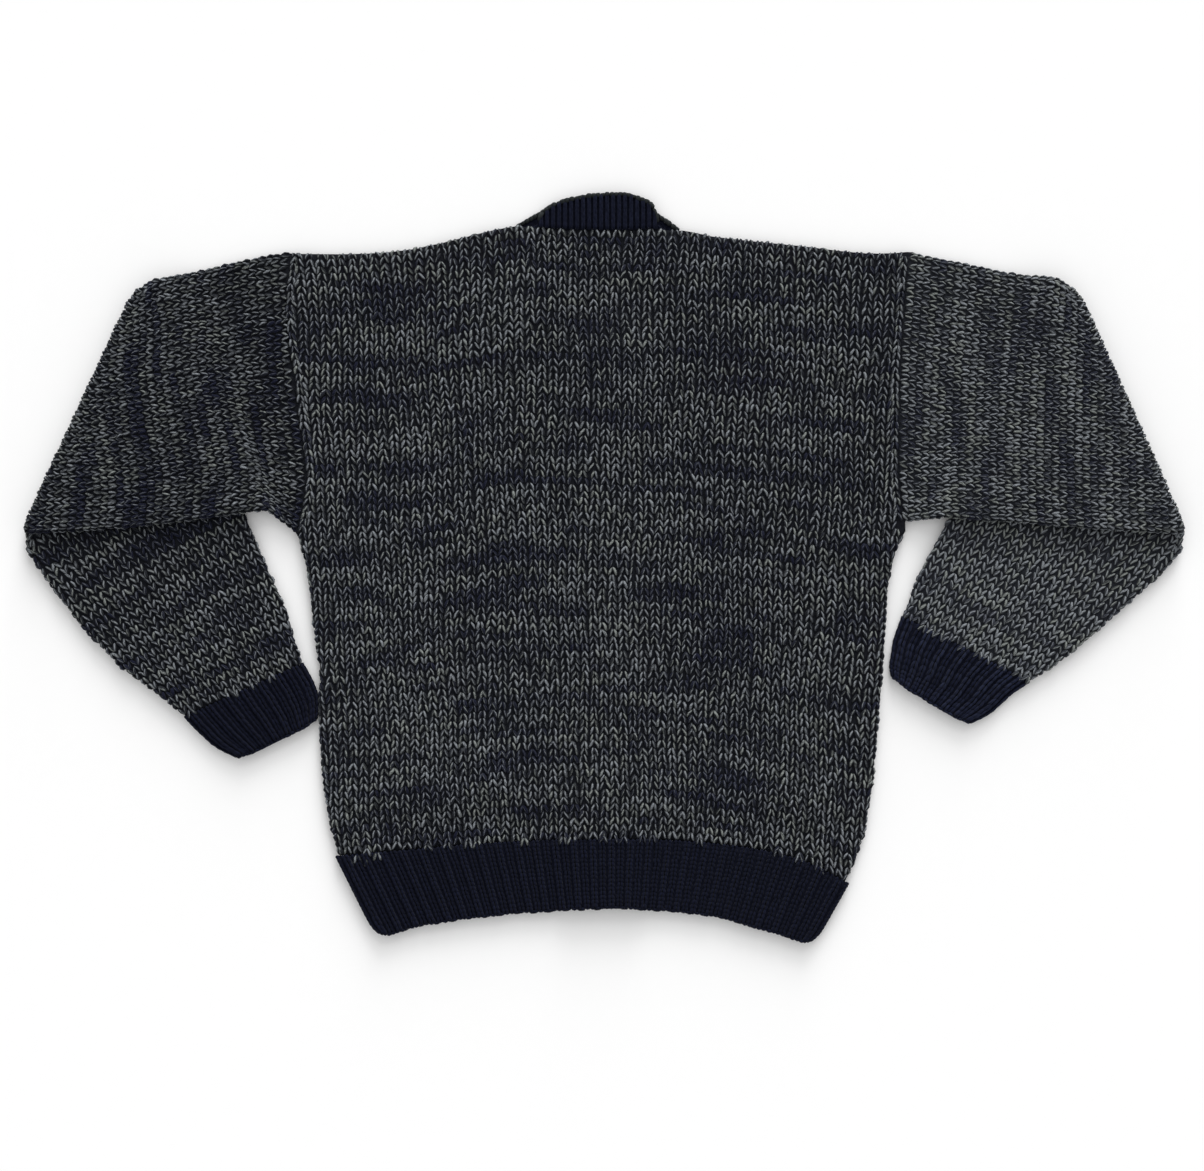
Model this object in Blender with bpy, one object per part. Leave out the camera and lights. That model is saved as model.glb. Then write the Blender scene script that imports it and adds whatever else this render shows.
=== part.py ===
"""A chunky hand-knit cardigan, buttoned and laid out face down on a flat surface.

The sleeves run out from dropped shoulders, fold under at the elbow and come back
beneath themselves, with the cuffs beside the body. Everything here is in
millimetres and is turned into metres where a mesh is made. X runs across the body,
Y runs up it from the hem to the neck, and Z is up from the surface it lies on.
"""

import math
from collections import namedtuple

import bmesh
import bpy
from mathutils import Vector

METRES = 0.001
UP = Vector((0.0, 0.0, 1.0))
SHARP_DEGREES = 50.0     # edges that turn more than this are shaded sharp

# Cloth
KNIT_WALL = 4.5          # bulky stocking stitch
RIB_WALL = 4.0           # ribbing in its purl valleys
RIB_RISE = 1.3           # how far a knit rib stands above them
SEAM_GAP = 0.4           # between pieces that are sewn edge to edge
LAYER_GAP = 0.6          # between cloths that lie on each other
FOLD_GAP = 1.0           # between the two halves of a folded sleeve
EDGE_ROUND = 5.0         # how far in from a free edge the cloth rounds off
EDGE_WALL = 1.8          # what is left of the wall at that edge

# The flattened sleeves
HALF_TUBE = KNIT_WALL + LAYER_GAP / 2
FOLD_RADIUS = HALF_TUBE + FOLD_GAP / 2
EDGE_STEPS = 4           # steps round each side fold
FOLD_STEPS = 6           # steps round the elbow fold

# The body
BACK_UNDER = KNIT_WALL + LAYER_GAP
BAND_HALF = 18.0         # half the width of a front band
BAND_WIDTH = 2 * BAND_HALF
BAND_ROWS = (-270.0, -150.0, -30.0, 80.0)  # heights of its rows up the centre front
V_POINT = 150.0          # where the neckline leaves the centre front
V_ROWS = 5
LIFT_FLAT = 20.0         # half the width over which the bands lift what lies on them
LIFT_FOOT = 50.0         # where that lift has run out
LIFT_FADE = (215.0, 270.0)  # heights between which it fades, past the V
BACK_SLACK = 5.0         # the back starts to rise this much sooner than the front under it
RAMP_SHARES = (0.0, 0.28, 0.64, 1.0)  # a front's columns between its band and the lift's foot
UNDERARM = (26.0, 40.0)  # the side edge is free below and sewn to the sleeve above
SWELL_INSET = 45.0       # the back's swells die out this far in from its edges
SWELL_FALL = 1.5         # how steeply a swell falls off
FIELD_COLUMNS = 6        # columns of each half of the body outside the centre
CENTRE_SEAM = -269.0     # the hem seam at the centre back
NECK_LEVEL = 346.0       # the higher neck point

# Heights up the left side edge at which the body's rows start, from the hem seam
LEVELS = (
    -286.0, -245.0, -200.0, -155.0, -105.0, -55.0, -10.0, 22.0, 42.0, 56.0, 90.0, 126.0,
    165.0, 205.0, 245.0, 285.0, 314.0, 317.7, 319.0,
)
ARMHOLE_FEET = {-1: 42.0, 1: 56.0}  # each sleeve is sewn on from this row
ARMHOLE_TOP = 314.0

# Ribbing: each knit rib as shares of one repeat, with its height
RIB_POINTS = ((0.0, 0.0), (0.28, 1.0), (0.72, 1.0))
HEM_RIBS = 27
CUFF_RIBS = 7
NECK_RIBS = 15
BAND_DOWN = (0.0, 0.5, 0.9, 1.0)  # rows down a ribbed band, from its seam to its edge

# Buttons, sewn to the upper band and set in holes of the lower one
BUTTON_RADIUS = 11.0
BUTTON_FOOT = 0.6
BUTTON_BEVEL = 1.0
BUTTON_CLEARANCE = 0.4
BUTTON_SIDES = 24
BUTTON_HEIGHTS = (128.0, 16.0, -96.0, -208.0, -318.0)

Side = namedtuple("Side", "y left right")
SIDES = (
    Side(-382, -219, 206),
    Side(-359, -231, 219),
    Side(-318, -252, 240),
    Side(-286, -266, 254),
    Side(-238, -278, 266),
    Side(-160, -286, 275),
    Side(-100, -286, 280),
    Side(-60, -291, 282),
    Side(0, -298, 288),
    Side(38, -307, 299),
    Side(56, -303, 298),
    Side(92, -298, 295),
    Side(151, -305, 295),
    Side(205, -312, 296),
    Side(259, -319, 300),
    Side(324, -312, 305),
)

Edge = namedtuple("Edge", "x y")
SHOULDER_LINE = (
    Edge(-330, 319), Edge(-251, 318.5), Edge(-200, 322), Edge(-164, 329), Edge(-88, 346),
    Edge(-58, 343), Edge(0, 341), Edge(53, 342), Edge(76, 342),
    Edge(109, 336), Edge(190, 327), Edge(263, 319), Edge(320, 321),
)
HEM_SEAM = (
    Edge(-280, -287), Edge(-220, -282), Edge(-113, -273), Edge(3, -269),
    Edge(92, -272), Edge(159, -280), Edge(205, -291), Edge(244, -306), Edge(260, -313),
)
HEM_EDGE = (
    Edge(-235, -372), Edge(-220, -368), Edge(-180, -357), Edge(-131, -349), Edge(-77, -344),
    Edge(3, -339), Edge(92, -345), Edge(137, -355), Edge(182, -368), Edge(212, -379),
)
HEM_CORNERS = (-227.0, 209.0)
NECK_POINTS = {-1: Edge(-88, 346), 1: Edge(76, 342)}
BAND_TIPS = {-1: 6.0, 1: 12.0}  # how far each band runs on past its neck point

# How far the back neckband stands above its seam
Rise = namedtuple("Rise", "x height")
NECK_RISES = (
    Rise(-66, 5), Rise(-61, 16), Rise(-51, 24), Rise(-33, 31), Rise(-12, 35.5),
    Rise(4, 37), Rise(21, 37), Rise(35, 32), Rise(48, 25), Rise(52, 15), Rise(54, 6),
)

# Soft swells of the back: where, how far they reach each way, and how high they stand
Swell = namedtuple("Swell", "x y reach_x reach_y height")
BACK_SWELLS = (
    Swell(-150, -222, 150, 42, 3.2),
    Swell(140, -225, 140, 42, 2.8),
    Swell(-205, 60, 70, 120, 1.8),
    Swell(190, 90, 80, 130, 2.2),
    Swell(-120, 250, 110, 60, 1.6),
    Swell(150, 245, 100, 70, 1.4),
)

# Sleeve sections. The upper ones run from the armhole to the elbow: the top edge, the
# underarm edge, the lift over the lower half (0 to 1) and how full the tube stands.
Upper = namedtuple("Upper", "top_x top_y under_x under_y lift full")
# The lower ones run from the elbow fold to the cuff: the inner edge and the outer edge.
Lower = namedtuple("Lower", "inner_x inner_y outer_x outer_y full")

UPPER_SLEEVES = {
    -1: (
        Upper(-358, 311, -313, 42, 0.0, 1.0),
        Upper(-404, 300, -322, 49, 0.0, 2.0),
        Upper(-427, 294.5, -335, 59, 0.5, 1.0),
        Upper(-449, 290, -350, 58, 1.0, 1.0),
        Upper(-453.5, 287, -437, 46, 1.0, 1.5),
        Upper(-456.5, 284, -512, 39, 1.0, 1.0),
        Upper(-460, 281, -574, 36, 1.0, 0.0),
    ),
    1: (
        Upper(352, 309, 302, 48, 0.0, 1.0),
        Upper(399, 299, 308, 49, 0.0, 2.0),
        Upper(425, 294.5, 322, 50, 0.5, 1.0),
        Upper(451, 292, 336, 52, 1.0, 1.0),
        Upper(456, 289, 412, 47, 1.0, 1.5),
        Upper(460, 286, 495, 40, 1.0, 1.0),
        Upper(464, 281, 574, 36, 1.0, 0.0),
    ),
}
LOWER_SLEEVES = {
    -1: (
        Lower(-426, 208, -575, 13, 0.0),
        Lower(-392, 132, -548.5, -24, 0.0),
        Lower(-359, 57, -522, -59, 0.0),
        Lower(-339, 9, -486, -97, 1.0),
        Lower(-318.5, -37, -450, -123, 2.5),
        Lower(-301.5, -93, -421, -147, 0.6),
    ),
    1: (
        Lower(428, 215, 575, 15, 0.0),
        Lower(394, 149, 551, -13, 0.0),
        Lower(358, 80, 526, -34, 0.0),
        Lower(335, 35, 496, -61, 1.0),
        Lower(313.5, -5, 464, -88, 2.5),
        Lower(298.5, -46, 427, -112, 0.6),
    ),
}
CUFFS = {
    -1: (
        Lower(-294.5, -112, -411, -158, 0.8),
        Lower(-290, -126, -394, -173, 0.8),
        Lower(-288, -151, -368, -190, 0.4),
    ),
    1: (
        Lower(292, -70, 409, -124, 0.8),
        Lower(289, -92, 391, -140, 0.8),
        Lower(288, -107, 367, -156, 0.4),
    ),
}

Finish = namedtuple("Finish", "colour roughness")
MARLED_KNIT = Finish((0.032, 0.034, 0.038), 0.92)
NAVY_RIB = Finish((0.010, 0.012, 0.026), 0.90)
DARK_BUTTON = Finish((0.016, 0.015, 0.014), 0.38)


def lerp(start, end, share):
    return start + (end - start) * share


def smooth_step(share):
    share = min(max(share, 0.0), 1.0)
    return share * share * (3.0 - 2.0 * share)


def smooth_through(knots, at):
    """The value at one place of a smooth curve through (place, value) knots."""
    last = len(knots) - 1
    at = min(max(at, knots[0][0]), knots[-1][0])
    i = 0
    while i < last - 1 and knots[i + 1][0] < at:
        i += 1

    def slope(k):
        before, after = knots[max(k - 1, 0)], knots[min(k + 1, last)]
        return (after[1] - before[1]) / (after[0] - before[0])

    (x0, y0), (x1, y1) = knots[i], knots[i + 1]
    span = x1 - x0
    t = (at - x0) / span
    return (
        (2 * t**3 - 3 * t**2 + 1) * y0
        + (t**3 - 2 * t**2 + t) * slope(i) * span
        + (-2 * t**3 + 3 * t**2) * y1
        + (t**3 - t**2) * slope(i + 1) * span
    )


def straight_through(line, x):
    """The height at x of a row of points joined by straight lines."""
    i = 0
    while i < len(line) - 2 and line[i + 1].x < x:
        i += 1
    start, end = line[i], line[i + 1]
    return lerp(start.y, end.y, (x - start.x) / (end.x - start.x))


SIDE_KNOTS = {
    -1: tuple((row.y, row.left) for row in SIDES),
    1: tuple((row.y, row.right) for row in SIDES),
}


def side_edge(y, side):
    """Where the body's side edge runs: side is -1 on the left and 1 on the right."""
    return smooth_through(SIDE_KNOTS[side], y)


def neck_edge(y, side):
    """Where a front's inner edge runs: beside its band, up the centre and along the V."""
    seam = side * (BAND_HALF + SEAM_GAP)
    if y <= V_POINT:
        return seam
    point = NECK_POINTS[side]
    return lerp(seam, point.x + side * SEAM_GAP, (y - V_POINT) / (point.y - V_POINT))


def band_lift(x, y, slack=0.0):
    """How far the doubled front bands raise the cloth that lies on them."""
    reach = smooth_step((LIFT_FOOT + slack - abs(x)) / (LIFT_FOOT - LIFT_FLAT))
    fade = 1.0 - smooth_step((y - LIFT_FADE[0]) / (LIFT_FADE[1] - LIFT_FADE[0]))
    return (KNIT_WALL + LAYER_GAP) * reach * fade


def back_under(x, y):
    """The back's under side: on the fronts, over the bands, with its soft swells."""
    height = 0.0
    for swell in BACK_SWELLS:
        far = ((x - swell.x) / swell.reach_x) ** 2 + ((y - swell.y) / swell.reach_y) ** 2
        height += swell.height * math.exp(-SWELL_FALL * far)
    inset = min(
        x - side_edge(y, -1),
        side_edge(y, 1) - x,
        smooth_through(SHOULDER_LINE, x) - y,
        y - smooth_through(HEM_SEAM, x),
    )
    return BACK_UNDER + band_lift(x, y, BACK_SLACK) + height * smooth_step(inset / SWELL_INSET)


def edge_wall(inset, wall=KNIT_WALL):
    """The wall's thickness near a free edge, where it rounds off like a folded one."""
    if inset >= EDGE_ROUND:
        return wall
    short = 1.0 - max(inset, 0.0) / EDGE_ROUND
    return lerp(EDGE_WALL, wall, math.sqrt(1.0 - short * short))


def body_wall(x, y):
    """The wall of the back or a front: thinner at the side edges and shoulder folds."""
    wall = KNIT_WALL
    side_inset = min(x - side_edge(y, -1), side_edge(y, 1) - x)
    if side_inset < EDGE_ROUND:
        sewn = smooth_step((y - UNDERARM[0]) / (UNDERARM[1] - UNDERARM[0]))
        wall = lerp(edge_wall(side_inset), KNIT_WALL, sewn)
    if not NECK_POINTS[-1].x < x < NECK_POINTS[1].x:
        wall = min(wall, edge_wall(smooth_through(SHOULDER_LINE, x) - y))
    return wall


def new_object(name, mesh, finish):
    """A named object with its own material, from a finished bmesh in metres."""
    bmesh.ops.recalc_face_normals(mesh, faces=mesh.faces)
    data = bpy.data.meshes.new(name)
    mesh.to_mesh(data)
    mesh.free()
    data.shade_smooth()
    data.set_sharp_from_angle(angle=math.radians(SHARP_DEGREES))
    material = bpy.data.materials.new(name)
    material.use_nodes = True
    shader = material.node_tree.nodes["Principled BSDF"]
    shader.inputs["Base Color"].default_value = (*finish.colour, 1.0)
    shader.inputs["Roughness"].default_value = finish.roughness
    shader.inputs["Metallic"].default_value = 0.0
    data.materials.append(material)
    thing = bpy.data.objects.new(name, data)
    bpy.context.scene.collection.objects.link(thing)
    return thing


def add_points(mesh, rows):
    return [[mesh.verts.new(point * METRES) for point in row] for row in rows]


def split_quad(mesh, a, b, c, d):
    """Two triangles that share the corner a, so that walls on each other split alike."""
    mesh.faces.new((a, b, c))
    mesh.faces.new((a, c, d))


def closed_wall(name, outer, inner, finish):
    """A panel: two grids of points of the same size, joined all round their rim."""
    mesh = bmesh.new()
    outer, inner = add_points(mesh, outer), add_points(mesh, inner)
    last_row, last_column = len(outer) - 1, len(outer[0]) - 1
    for grid in (outer, inner):
        for r in range(last_row):
            for c in range(last_column):
                split_quad(mesh, grid[r][c], grid[r][c + 1], grid[r + 1][c + 1], grid[r + 1][c])
    rim = [(0, c) for c in range(last_column)]
    rim += [(r, last_column) for r in range(last_row)]
    rim += [(last_row, c) for c in range(last_column, 0, -1)]
    rim += [(r, 0) for r in range(last_row, 0, -1)]
    for (r0, c0), (r1, c1) in zip(rim, rim[1:] + rim[:1]):
        split_quad(mesh, outer[r0][c0], outer[r1][c1], inner[r1][c1], inner[r0][c0])
    return new_object(name, mesh, finish)


def closed_tube(name, outer, inner, finish):
    """A tube open at both ends: two stacks of rings, joined at the first and last."""
    mesh = bmesh.new()
    outer, inner = add_points(mesh, outer), add_points(mesh, inner)
    around = len(outer[0])
    pairs = [(i, (i + 1) % around) for i in range(around)]
    for stack in (outer, inner):
        for near, far in zip(stack, stack[1:]):
            for i, j in pairs:
                split_quad(mesh, near[i], near[j], far[j], far[i])
    for end in (0, -1):
        for i, j in pairs:
            split_quad(mesh, outer[end][i], outer[end][j], inner[end][j], inner[end][i])
    return new_object(name, mesh, finish)


def field(start, end):
    """Evenly spaced columns between two places, leaving out the start."""
    return [lerp(start, end, (i + 1) / FIELD_COLUMNS) for i in range(FIELD_COLUMNS)]


def back_columns(y):
    """Where the back's columns cross a height: its rounded sides and lifted centre."""
    half = []
    for side in (-1, 1):
        edge = side_edge(y, side)
        flat, foot = side * (LIFT_FLAT + BACK_SLACK), side * (LIFT_FOOT + BACK_SLACK)
        ramp = [flat, (flat + foot) / 2, foot]
        rounded = edge - side * EDGE_ROUND
        half.append([*ramp, *field(foot, rounded), edge - side * EDGE_ROUND / 4, edge])
    return [*half[0][::-1], 0.0, *half[1]]


def front_columns(y, side):
    """A front's columns from its band to its side edge, or the other way on the left."""
    inner, edge = neck_edge(y, side), side_edge(y, side)
    ramp = [inner + side * (LIFT_FOOT - BAND_HALF) * share for share in RAMP_SHARES]
    rounded = edge - side * EDGE_ROUND
    columns = [*ramp, *field(ramp[-1], rounded), edge - side * EDGE_ROUND / 4, edge]
    return columns if side > 0 else columns[::-1]


def body_grid(columns_at):
    """Plan points of a body panel, from the hem seam up to the shoulder line."""
    low, high = columns_at(CENTRE_SEAM), columns_at(NECK_LEVEL)
    grid = []
    for level in LEVELS:
        share = (level - LEVELS[0]) / (LEVELS[-1] - LEVELS[0])
        row = []
        for i, (x_low, x_high) in enumerate(zip(low, high)):
            bottom = smooth_through(HEM_SEAM, x_low) + SEAM_GAP
            y = lerp(bottom, smooth_through(SHOULDER_LINE, x_high), share)
            row.append(Vector((columns_at(y)[i], y, 0.0)))
        grid.append(row)
    return grid


def raised(grid, height_at):
    """A grid of plan points, each set at its own height."""
    return [[Vector((p.x, p.y, height_at(p.x, p.y))) for p in row] for row in grid]


def make_back():
    grid = body_grid(back_columns)
    outer = raised(grid, lambda x, y: back_under(x, y) + body_wall(x, y))
    inner = raised(grid, back_under)
    closed_wall("back", outer, inner, MARLED_KNIT)
    return grid


def front_floor(side):
    """The height at which the front on one side lies: only the right one is on a band."""
    return band_lift if side > 0 else (lambda x, y: 0.0)


def make_front(name, side):
    """A front lies face down: its outer side is underneath and rounds up at its edges."""
    grid = body_grid(lambda y: front_columns(y, side))
    floor = front_floor(side)
    outer = raised(grid, lambda x, y: floor(x, y) + KNIT_WALL - body_wall(x, y))
    inner = raised(grid, lambda x, y: floor(x, y) + KNIT_WALL)
    closed_wall(name, outer, inner, MARLED_KNIT)
    return grid


def rib_shares(ribs):
    """Shares across a ribbed band with each point's height: 0 in a valley, 1 on a rib."""
    points = [((i + at) / ribs, rise) for i in range(ribs) for at, rise in RIB_POINTS]
    return [*points, (1.0, 0.0)]


def hem_grid(seam, low_start, low_end, shares):
    """Plan points from a panel's bottom row down to the hem's edge."""
    grid = []
    for down in BAND_DOWN:
        row = []
        for share in shares:
            x_top, x_low = lerp(seam[0].x, seam[-1].x, share), lerp(low_start, low_end, share)
            y_top = straight_through(seam, x_top) - SEAM_GAP
            y = lerp(y_top, smooth_through(HEM_EDGE, x_low), down)
            row.append(Vector((lerp(x_top, x_low, down), y, 0.0)))
        grid.append(row)
    return grid


def rib_wall(share, rise, down):
    """A ribbed band's wall, which rounds off at its lower edge and at both ends."""
    if down == BAND_DOWN[-1] or share in (0.0, 1.0):
        return EDGE_WALL + rise * RIB_RISE / 2
    return RIB_WALL + rise * RIB_RISE


def make_hem_back(seam):
    ribs = rib_shares(HEM_RIBS)
    grid = hem_grid(seam, *HEM_CORNERS, [share for share, _ in ribs])
    inner = raised(grid, lambda x, y: BACK_UNDER + band_lift(x, y, BACK_SLACK))
    outer = [
        [p + UP * rib_wall(share, rise, down) for p, (share, rise) in zip(row, ribs)]
        for row, down in zip(inner, BAND_DOWN)
    ]
    closed_wall("hem_back", outer, inner, NAVY_RIB)


def make_hem_front(name, side, seam):
    """A front's hem, plain on the side it rests on."""
    inner_edge = side * (BAND_HALF + SEAM_GAP)
    ends = (HEM_CORNERS[0], inner_edge) if side < 0 else (inner_edge, HEM_CORNERS[1])
    steps = len(seam) - 1
    shares = [(p.x - seam[0].x) / (seam[steps].x - seam[0].x) for p in seam]
    grid = hem_grid(seam, *ends, shares)
    floor = front_floor(side)
    inner = raised(grid, lambda x, y: floor(x, y) + RIB_WALL)
    free_end = 0 if side < 0 else steps
    outer = []
    for row, down in zip(inner, BAND_DOWN):
        rounded = [down == BAND_DOWN[-1] or i == free_end for i in range(steps + 1)]
        outer.append([p - UP * (EDGE_WALL if r else RIB_WALL) for p, r in zip(row, rounded)])
    closed_wall(name, outer, inner, NAVY_RIB)


def band_rails(side):
    """A front band's two edges: sewn to the front, and free, with a mitre at the V."""
    start = Vector((side * BAND_HALF, V_POINT, 0.0))
    point = NECK_POINTS[side]
    seam_end = Vector((point.x, point.y, 0.0))
    way = (seam_end - start).normalized()
    across = Vector((-side * way.y, side * way.x, 0.0))
    shifted = start + across * BAND_WIDTH
    mitre = shifted + way * ((-side * BAND_HALF - shifted.x) / way.x)
    free_end = seam_end + across * BAND_WIDTH + way * BAND_TIPS[side]
    bottom = smooth_through(HEM_EDGE, 0.0)
    seam, free = [], []
    for y in (bottom, *BAND_ROWS):
        seam.append(Vector((side * BAND_HALF, y, 0.0)))
        free.append(Vector((-side * BAND_HALF, y, 0.0)))
    for i in range(V_ROWS + 1):
        seam.append(start.lerp(seam_end, i / V_ROWS))
        free.append(mitre.lerp(free_end, i / V_ROWS))
    return seam, free


def make_band(name, side):
    """A front band: the left one lies lowest, the right one over it."""
    seam, free = band_rails(side)
    rails = [seam, [a.lerp(b, 0.5) for a, b in zip(seam, free)], free]
    grid = [list(row) for row in zip(*rails)]
    floor = front_floor(side)
    inner = raised(grid, lambda x, y: floor(x, y) + RIB_WALL)
    outer = raised(grid, floor)
    return closed_wall(name, outer, inner, NAVY_RIB)


def make_neckband(neckline):
    """The stretch of the band behind the neck, standing up from the back's neckline."""
    ribs = rib_shares(NECK_RIBS)
    start, end = NECK_RISES[0].x, NECK_RISES[-1].x
    inner, outer = [], []
    for up in BAND_DOWN:
        inner_row, outer_row = [], []
        for share, rise in ribs:
            x = lerp(start, end, share)
            y = straight_through(neckline, x) + SEAM_GAP + smooth_through(NECK_RISES, x) * up
            under = Vector((x, y, BACK_UNDER))
            inner_row.append(under)
            outer_row.append(under + UP * rib_wall(share, rise, up))
        inner.append(inner_row)
        outer.append(outer_row)
    closed_wall("band_neck", outer, inner, NAVY_RIB)


def ring(middles, shares, across, normal, half, full, rises=()):
    """One closed ring round a flattened tube, in its section's own plane.

    The ring runs over the side that the normal points from, round the second edge,
    back along the other side and round the first edge. The side that faces up stands
    out by full, and by rises where it is ribbed.
    """
    facing_up = 1 if normal.z > 0 else -1
    points = []
    for way in (1, -1):
        swelling = way == facing_up
        order = range(len(middles))[::way]
        for i in order:
            point = middles[i] + normal * half * way
            if swelling:
                rise = rises[i] if rises else 0.0
                point += UP * (full * math.sin(math.pi * shares[i]) + rise)
            points.append(point)
        centre = middles[-1] if way > 0 else middles[0]
        for step in range(1, EDGE_STEPS):
            turn = math.pi * step / EDGE_STEPS
            points.append(centre + (across * math.sin(turn) + normal * math.cos(turn)) * half * way)
    return points


def section_line(start, end, shares, half, height_at):
    """Points across a sleeve between the centres of its two rounded edges."""
    start, end = Vector((*start, 0.0)), Vector((*end, 0.0))
    across = (end - start).normalized()
    start, end = start + across * half, end - across * half
    middles = [start.lerp(end, share) for share in shares]
    for point in middles:
        point.z = height_at
    return middles, across


def make_sleeve(name, side, armhole):
    """A sleeve: out from the armhole, round the oblique fold and back underneath."""
    length = armhole[0].y - armhole[-1].y
    shares = [(armhole[0].y - point.y) / length for point in armhole]
    sewn = [point + Vector((side * SEAM_GAP, 0.0, HALF_TUBE)) for point in armhole]
    stations = [(sewn, Vector((0.0, -1.0, 0.0)), UP, 0.0)]
    for row in UPPER_SLEEVES[side]:
        middle = HALF_TUBE + 2 * FOLD_RADIUS * row.lift
        line = section_line(row[0:2], row[2:4], shares, HALF_TUBE, middle)
        stations.append((*line, UP, row.full))
    elbow = UPPER_SLEEVES[side][-1]
    fold_line, along_fold = section_line(elbow[0:2], elbow[2:4], shares, HALF_TUBE, 0.0)
    outward = Vector((-side * along_fold.y, side * along_fold.x, 0.0))
    for step in range(1, FOLD_STEPS + 1):
        turn = math.pi * step / FOLD_STEPS
        normal = UP * math.cos(turn) + outward * math.sin(turn)
        moved = UP * (HALF_TUBE + FOLD_RADIUS) + normal * FOLD_RADIUS
        stations.append(([point + moved for point in fold_line], along_fold, normal, 0.0))
    for row in LOWER_SLEEVES[side]:
        line = section_line(row[0:2], row[2:4], shares, HALF_TUBE, HALF_TUBE)
        stations.append((*line, -UP, row.full))
    stacks = []
    for half in (HALF_TUBE, LAYER_GAP / 2):
        stacks.append(
            [ring(line, shares, across, n, half, full) for line, across, n, full in stations]
        )
    closed_tube(name, *stacks, MARLED_KNIT)


def make_cuff(name, side):
    """A ribbed cuff that goes on from the sleeve's end, plain where it rests."""
    ribs = rib_shares(CUFF_RIBS)
    shares = [share for share, _ in ribs]
    half = RIB_WALL + LAYER_GAP / 2
    end = LOWER_SLEEVES[side][-1]
    down = Vector((-side * (end.outer_y - end.inner_y), side * (end.outer_x - end.inner_x)))
    start = down.normalized() * SEAM_GAP * -1
    first = end._replace(
        inner_x=end.inner_x + start.x, inner_y=end.inner_y + start.y,
        outer_x=end.outer_x + start.x, outer_y=end.outer_y + start.y,
    )
    outer, inner = [], []
    for row in (first, *CUFFS[side]):
        middles, across = section_line(row[0:2], row[2:4], shares, half, half)
        rises = [rise * RIB_RISE for _, rise in ribs]
        outer.append(ring(middles, shares, across, UP, half, row.full, rises))
        inner.append(ring(middles, shares, across, UP, LAYER_GAP / 2, row.full))
    closed_tube(name, outer, inner, NAVY_RIB)


def add_disc(name, radius, bottom, top, y):
    """A round disc on the centre line of the bands."""
    mesh = bmesh.new()
    bmesh.ops.create_cone(
        mesh, cap_ends=True, segments=BUTTON_SIDES,
        radius1=radius * METRES, radius2=radius * METRES, depth=(top - bottom) * METRES,
    )
    bmesh.ops.translate(mesh, vec=Vector((0.0, y, (top + bottom) / 2)) * METRES, verts=mesh.verts)
    return new_object(name, mesh, DARK_BUTTON)


def make_buttons(lower_band):
    """Five plain buttons, each in its hole of the lower band, under the upper one."""
    top = KNIT_WALL + LAYER_GAP - SEAM_GAP
    for number, y in enumerate(BUTTON_HEIGHTS, start=1):
        button = add_disc(f"button_{number}", BUTTON_RADIUS, BUTTON_FOOT, top, y)
        bevel = button.modifiers.new("Rounded rim", "BEVEL")
        bevel.width = BUTTON_BEVEL * METRES
        bevel.segments = 1
        hole_radius = BUTTON_RADIUS + BUTTON_CLEARANCE
        cutter = add_disc(f"cutter_{number}", hole_radius, -RIB_WALL, 2 * RIB_WALL, y)
        cutter.hide_render = True
        cutter.display_type = "WIRE"
        hole = lower_band.modifiers.new(f"Buttonhole {number}", "BOOLEAN")
        hole.operation = "DIFFERENCE"
        hole.object = cutter


def main():
    for thing in list(bpy.data.objects):
        bpy.data.objects.remove(thing, do_unlink=True)
    back = make_back()
    front_left = make_front("front_left", -1)
    front_right = make_front("front_right", 1)
    make_hem_back(back[0])
    make_hem_front("hem_front_left", -1, front_left[0])
    make_hem_front("hem_front_right", 1, front_right[0])
    lower_band = make_band("band_left", -1)
    make_band("band_right", 1)
    make_neckband(back[-1])
    make_buttons(lower_band)
    for side, label in ((-1, "left"), (1, "right")):
        edge = 0 if side < 0 else -1
        first, last = LEVELS.index(ARMHOLE_FEET[side]), LEVELS.index(ARMHOLE_TOP)
        armhole = [row[edge] for row in back[first:last + 1]][::-1]
        make_sleeve(f"sleeve_{label}", side, armhole)
        make_cuff(f"cuff_{label}", side)


main()
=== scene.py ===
"""Knits a chunky marled cardigan, laid out face down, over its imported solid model.

Each cloth is a thin shell in the form of its solid, and its stitches are lengths of
yarn set on that shell. Tables and shapes are in millimetres, seen from above: X runs
across the body, Y up it from the hem to the neck, and Z up from the floor.
"""

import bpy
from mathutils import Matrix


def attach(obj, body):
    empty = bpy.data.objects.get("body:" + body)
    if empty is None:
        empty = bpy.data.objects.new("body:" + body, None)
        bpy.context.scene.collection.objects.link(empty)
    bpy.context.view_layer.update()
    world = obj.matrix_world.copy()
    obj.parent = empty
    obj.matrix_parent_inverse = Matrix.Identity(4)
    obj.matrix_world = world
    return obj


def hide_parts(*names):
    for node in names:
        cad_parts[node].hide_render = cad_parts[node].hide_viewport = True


bl_info = {
    "name": "Marled Hand-Knit Cardigan",
    "version": (1, 0, 0),
    "blender": (4, 5, 0),
    "location": "View3D > Sidebar > Cardigan",
    "description": "Knits a laid-out cardigan stitch by stitch over its solid model",
    "category": "Object",
}

import math
from collections import namedtuple

import bpy
import numpy as np
from bpy.props import FloatProperty, FloatVectorProperty, PointerProperty
from mathutils import Vector
from mathutils.bvhtree import BVHTree

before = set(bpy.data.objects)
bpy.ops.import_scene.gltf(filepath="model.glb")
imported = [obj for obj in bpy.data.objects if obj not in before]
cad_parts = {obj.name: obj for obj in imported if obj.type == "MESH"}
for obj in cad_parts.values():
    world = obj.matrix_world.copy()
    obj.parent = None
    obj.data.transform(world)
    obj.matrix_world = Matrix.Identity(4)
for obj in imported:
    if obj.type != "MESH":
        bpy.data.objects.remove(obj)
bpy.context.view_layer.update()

MM = 0.001
SIDES_OF_BODY = {-1: "left", 1: "right"}

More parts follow.
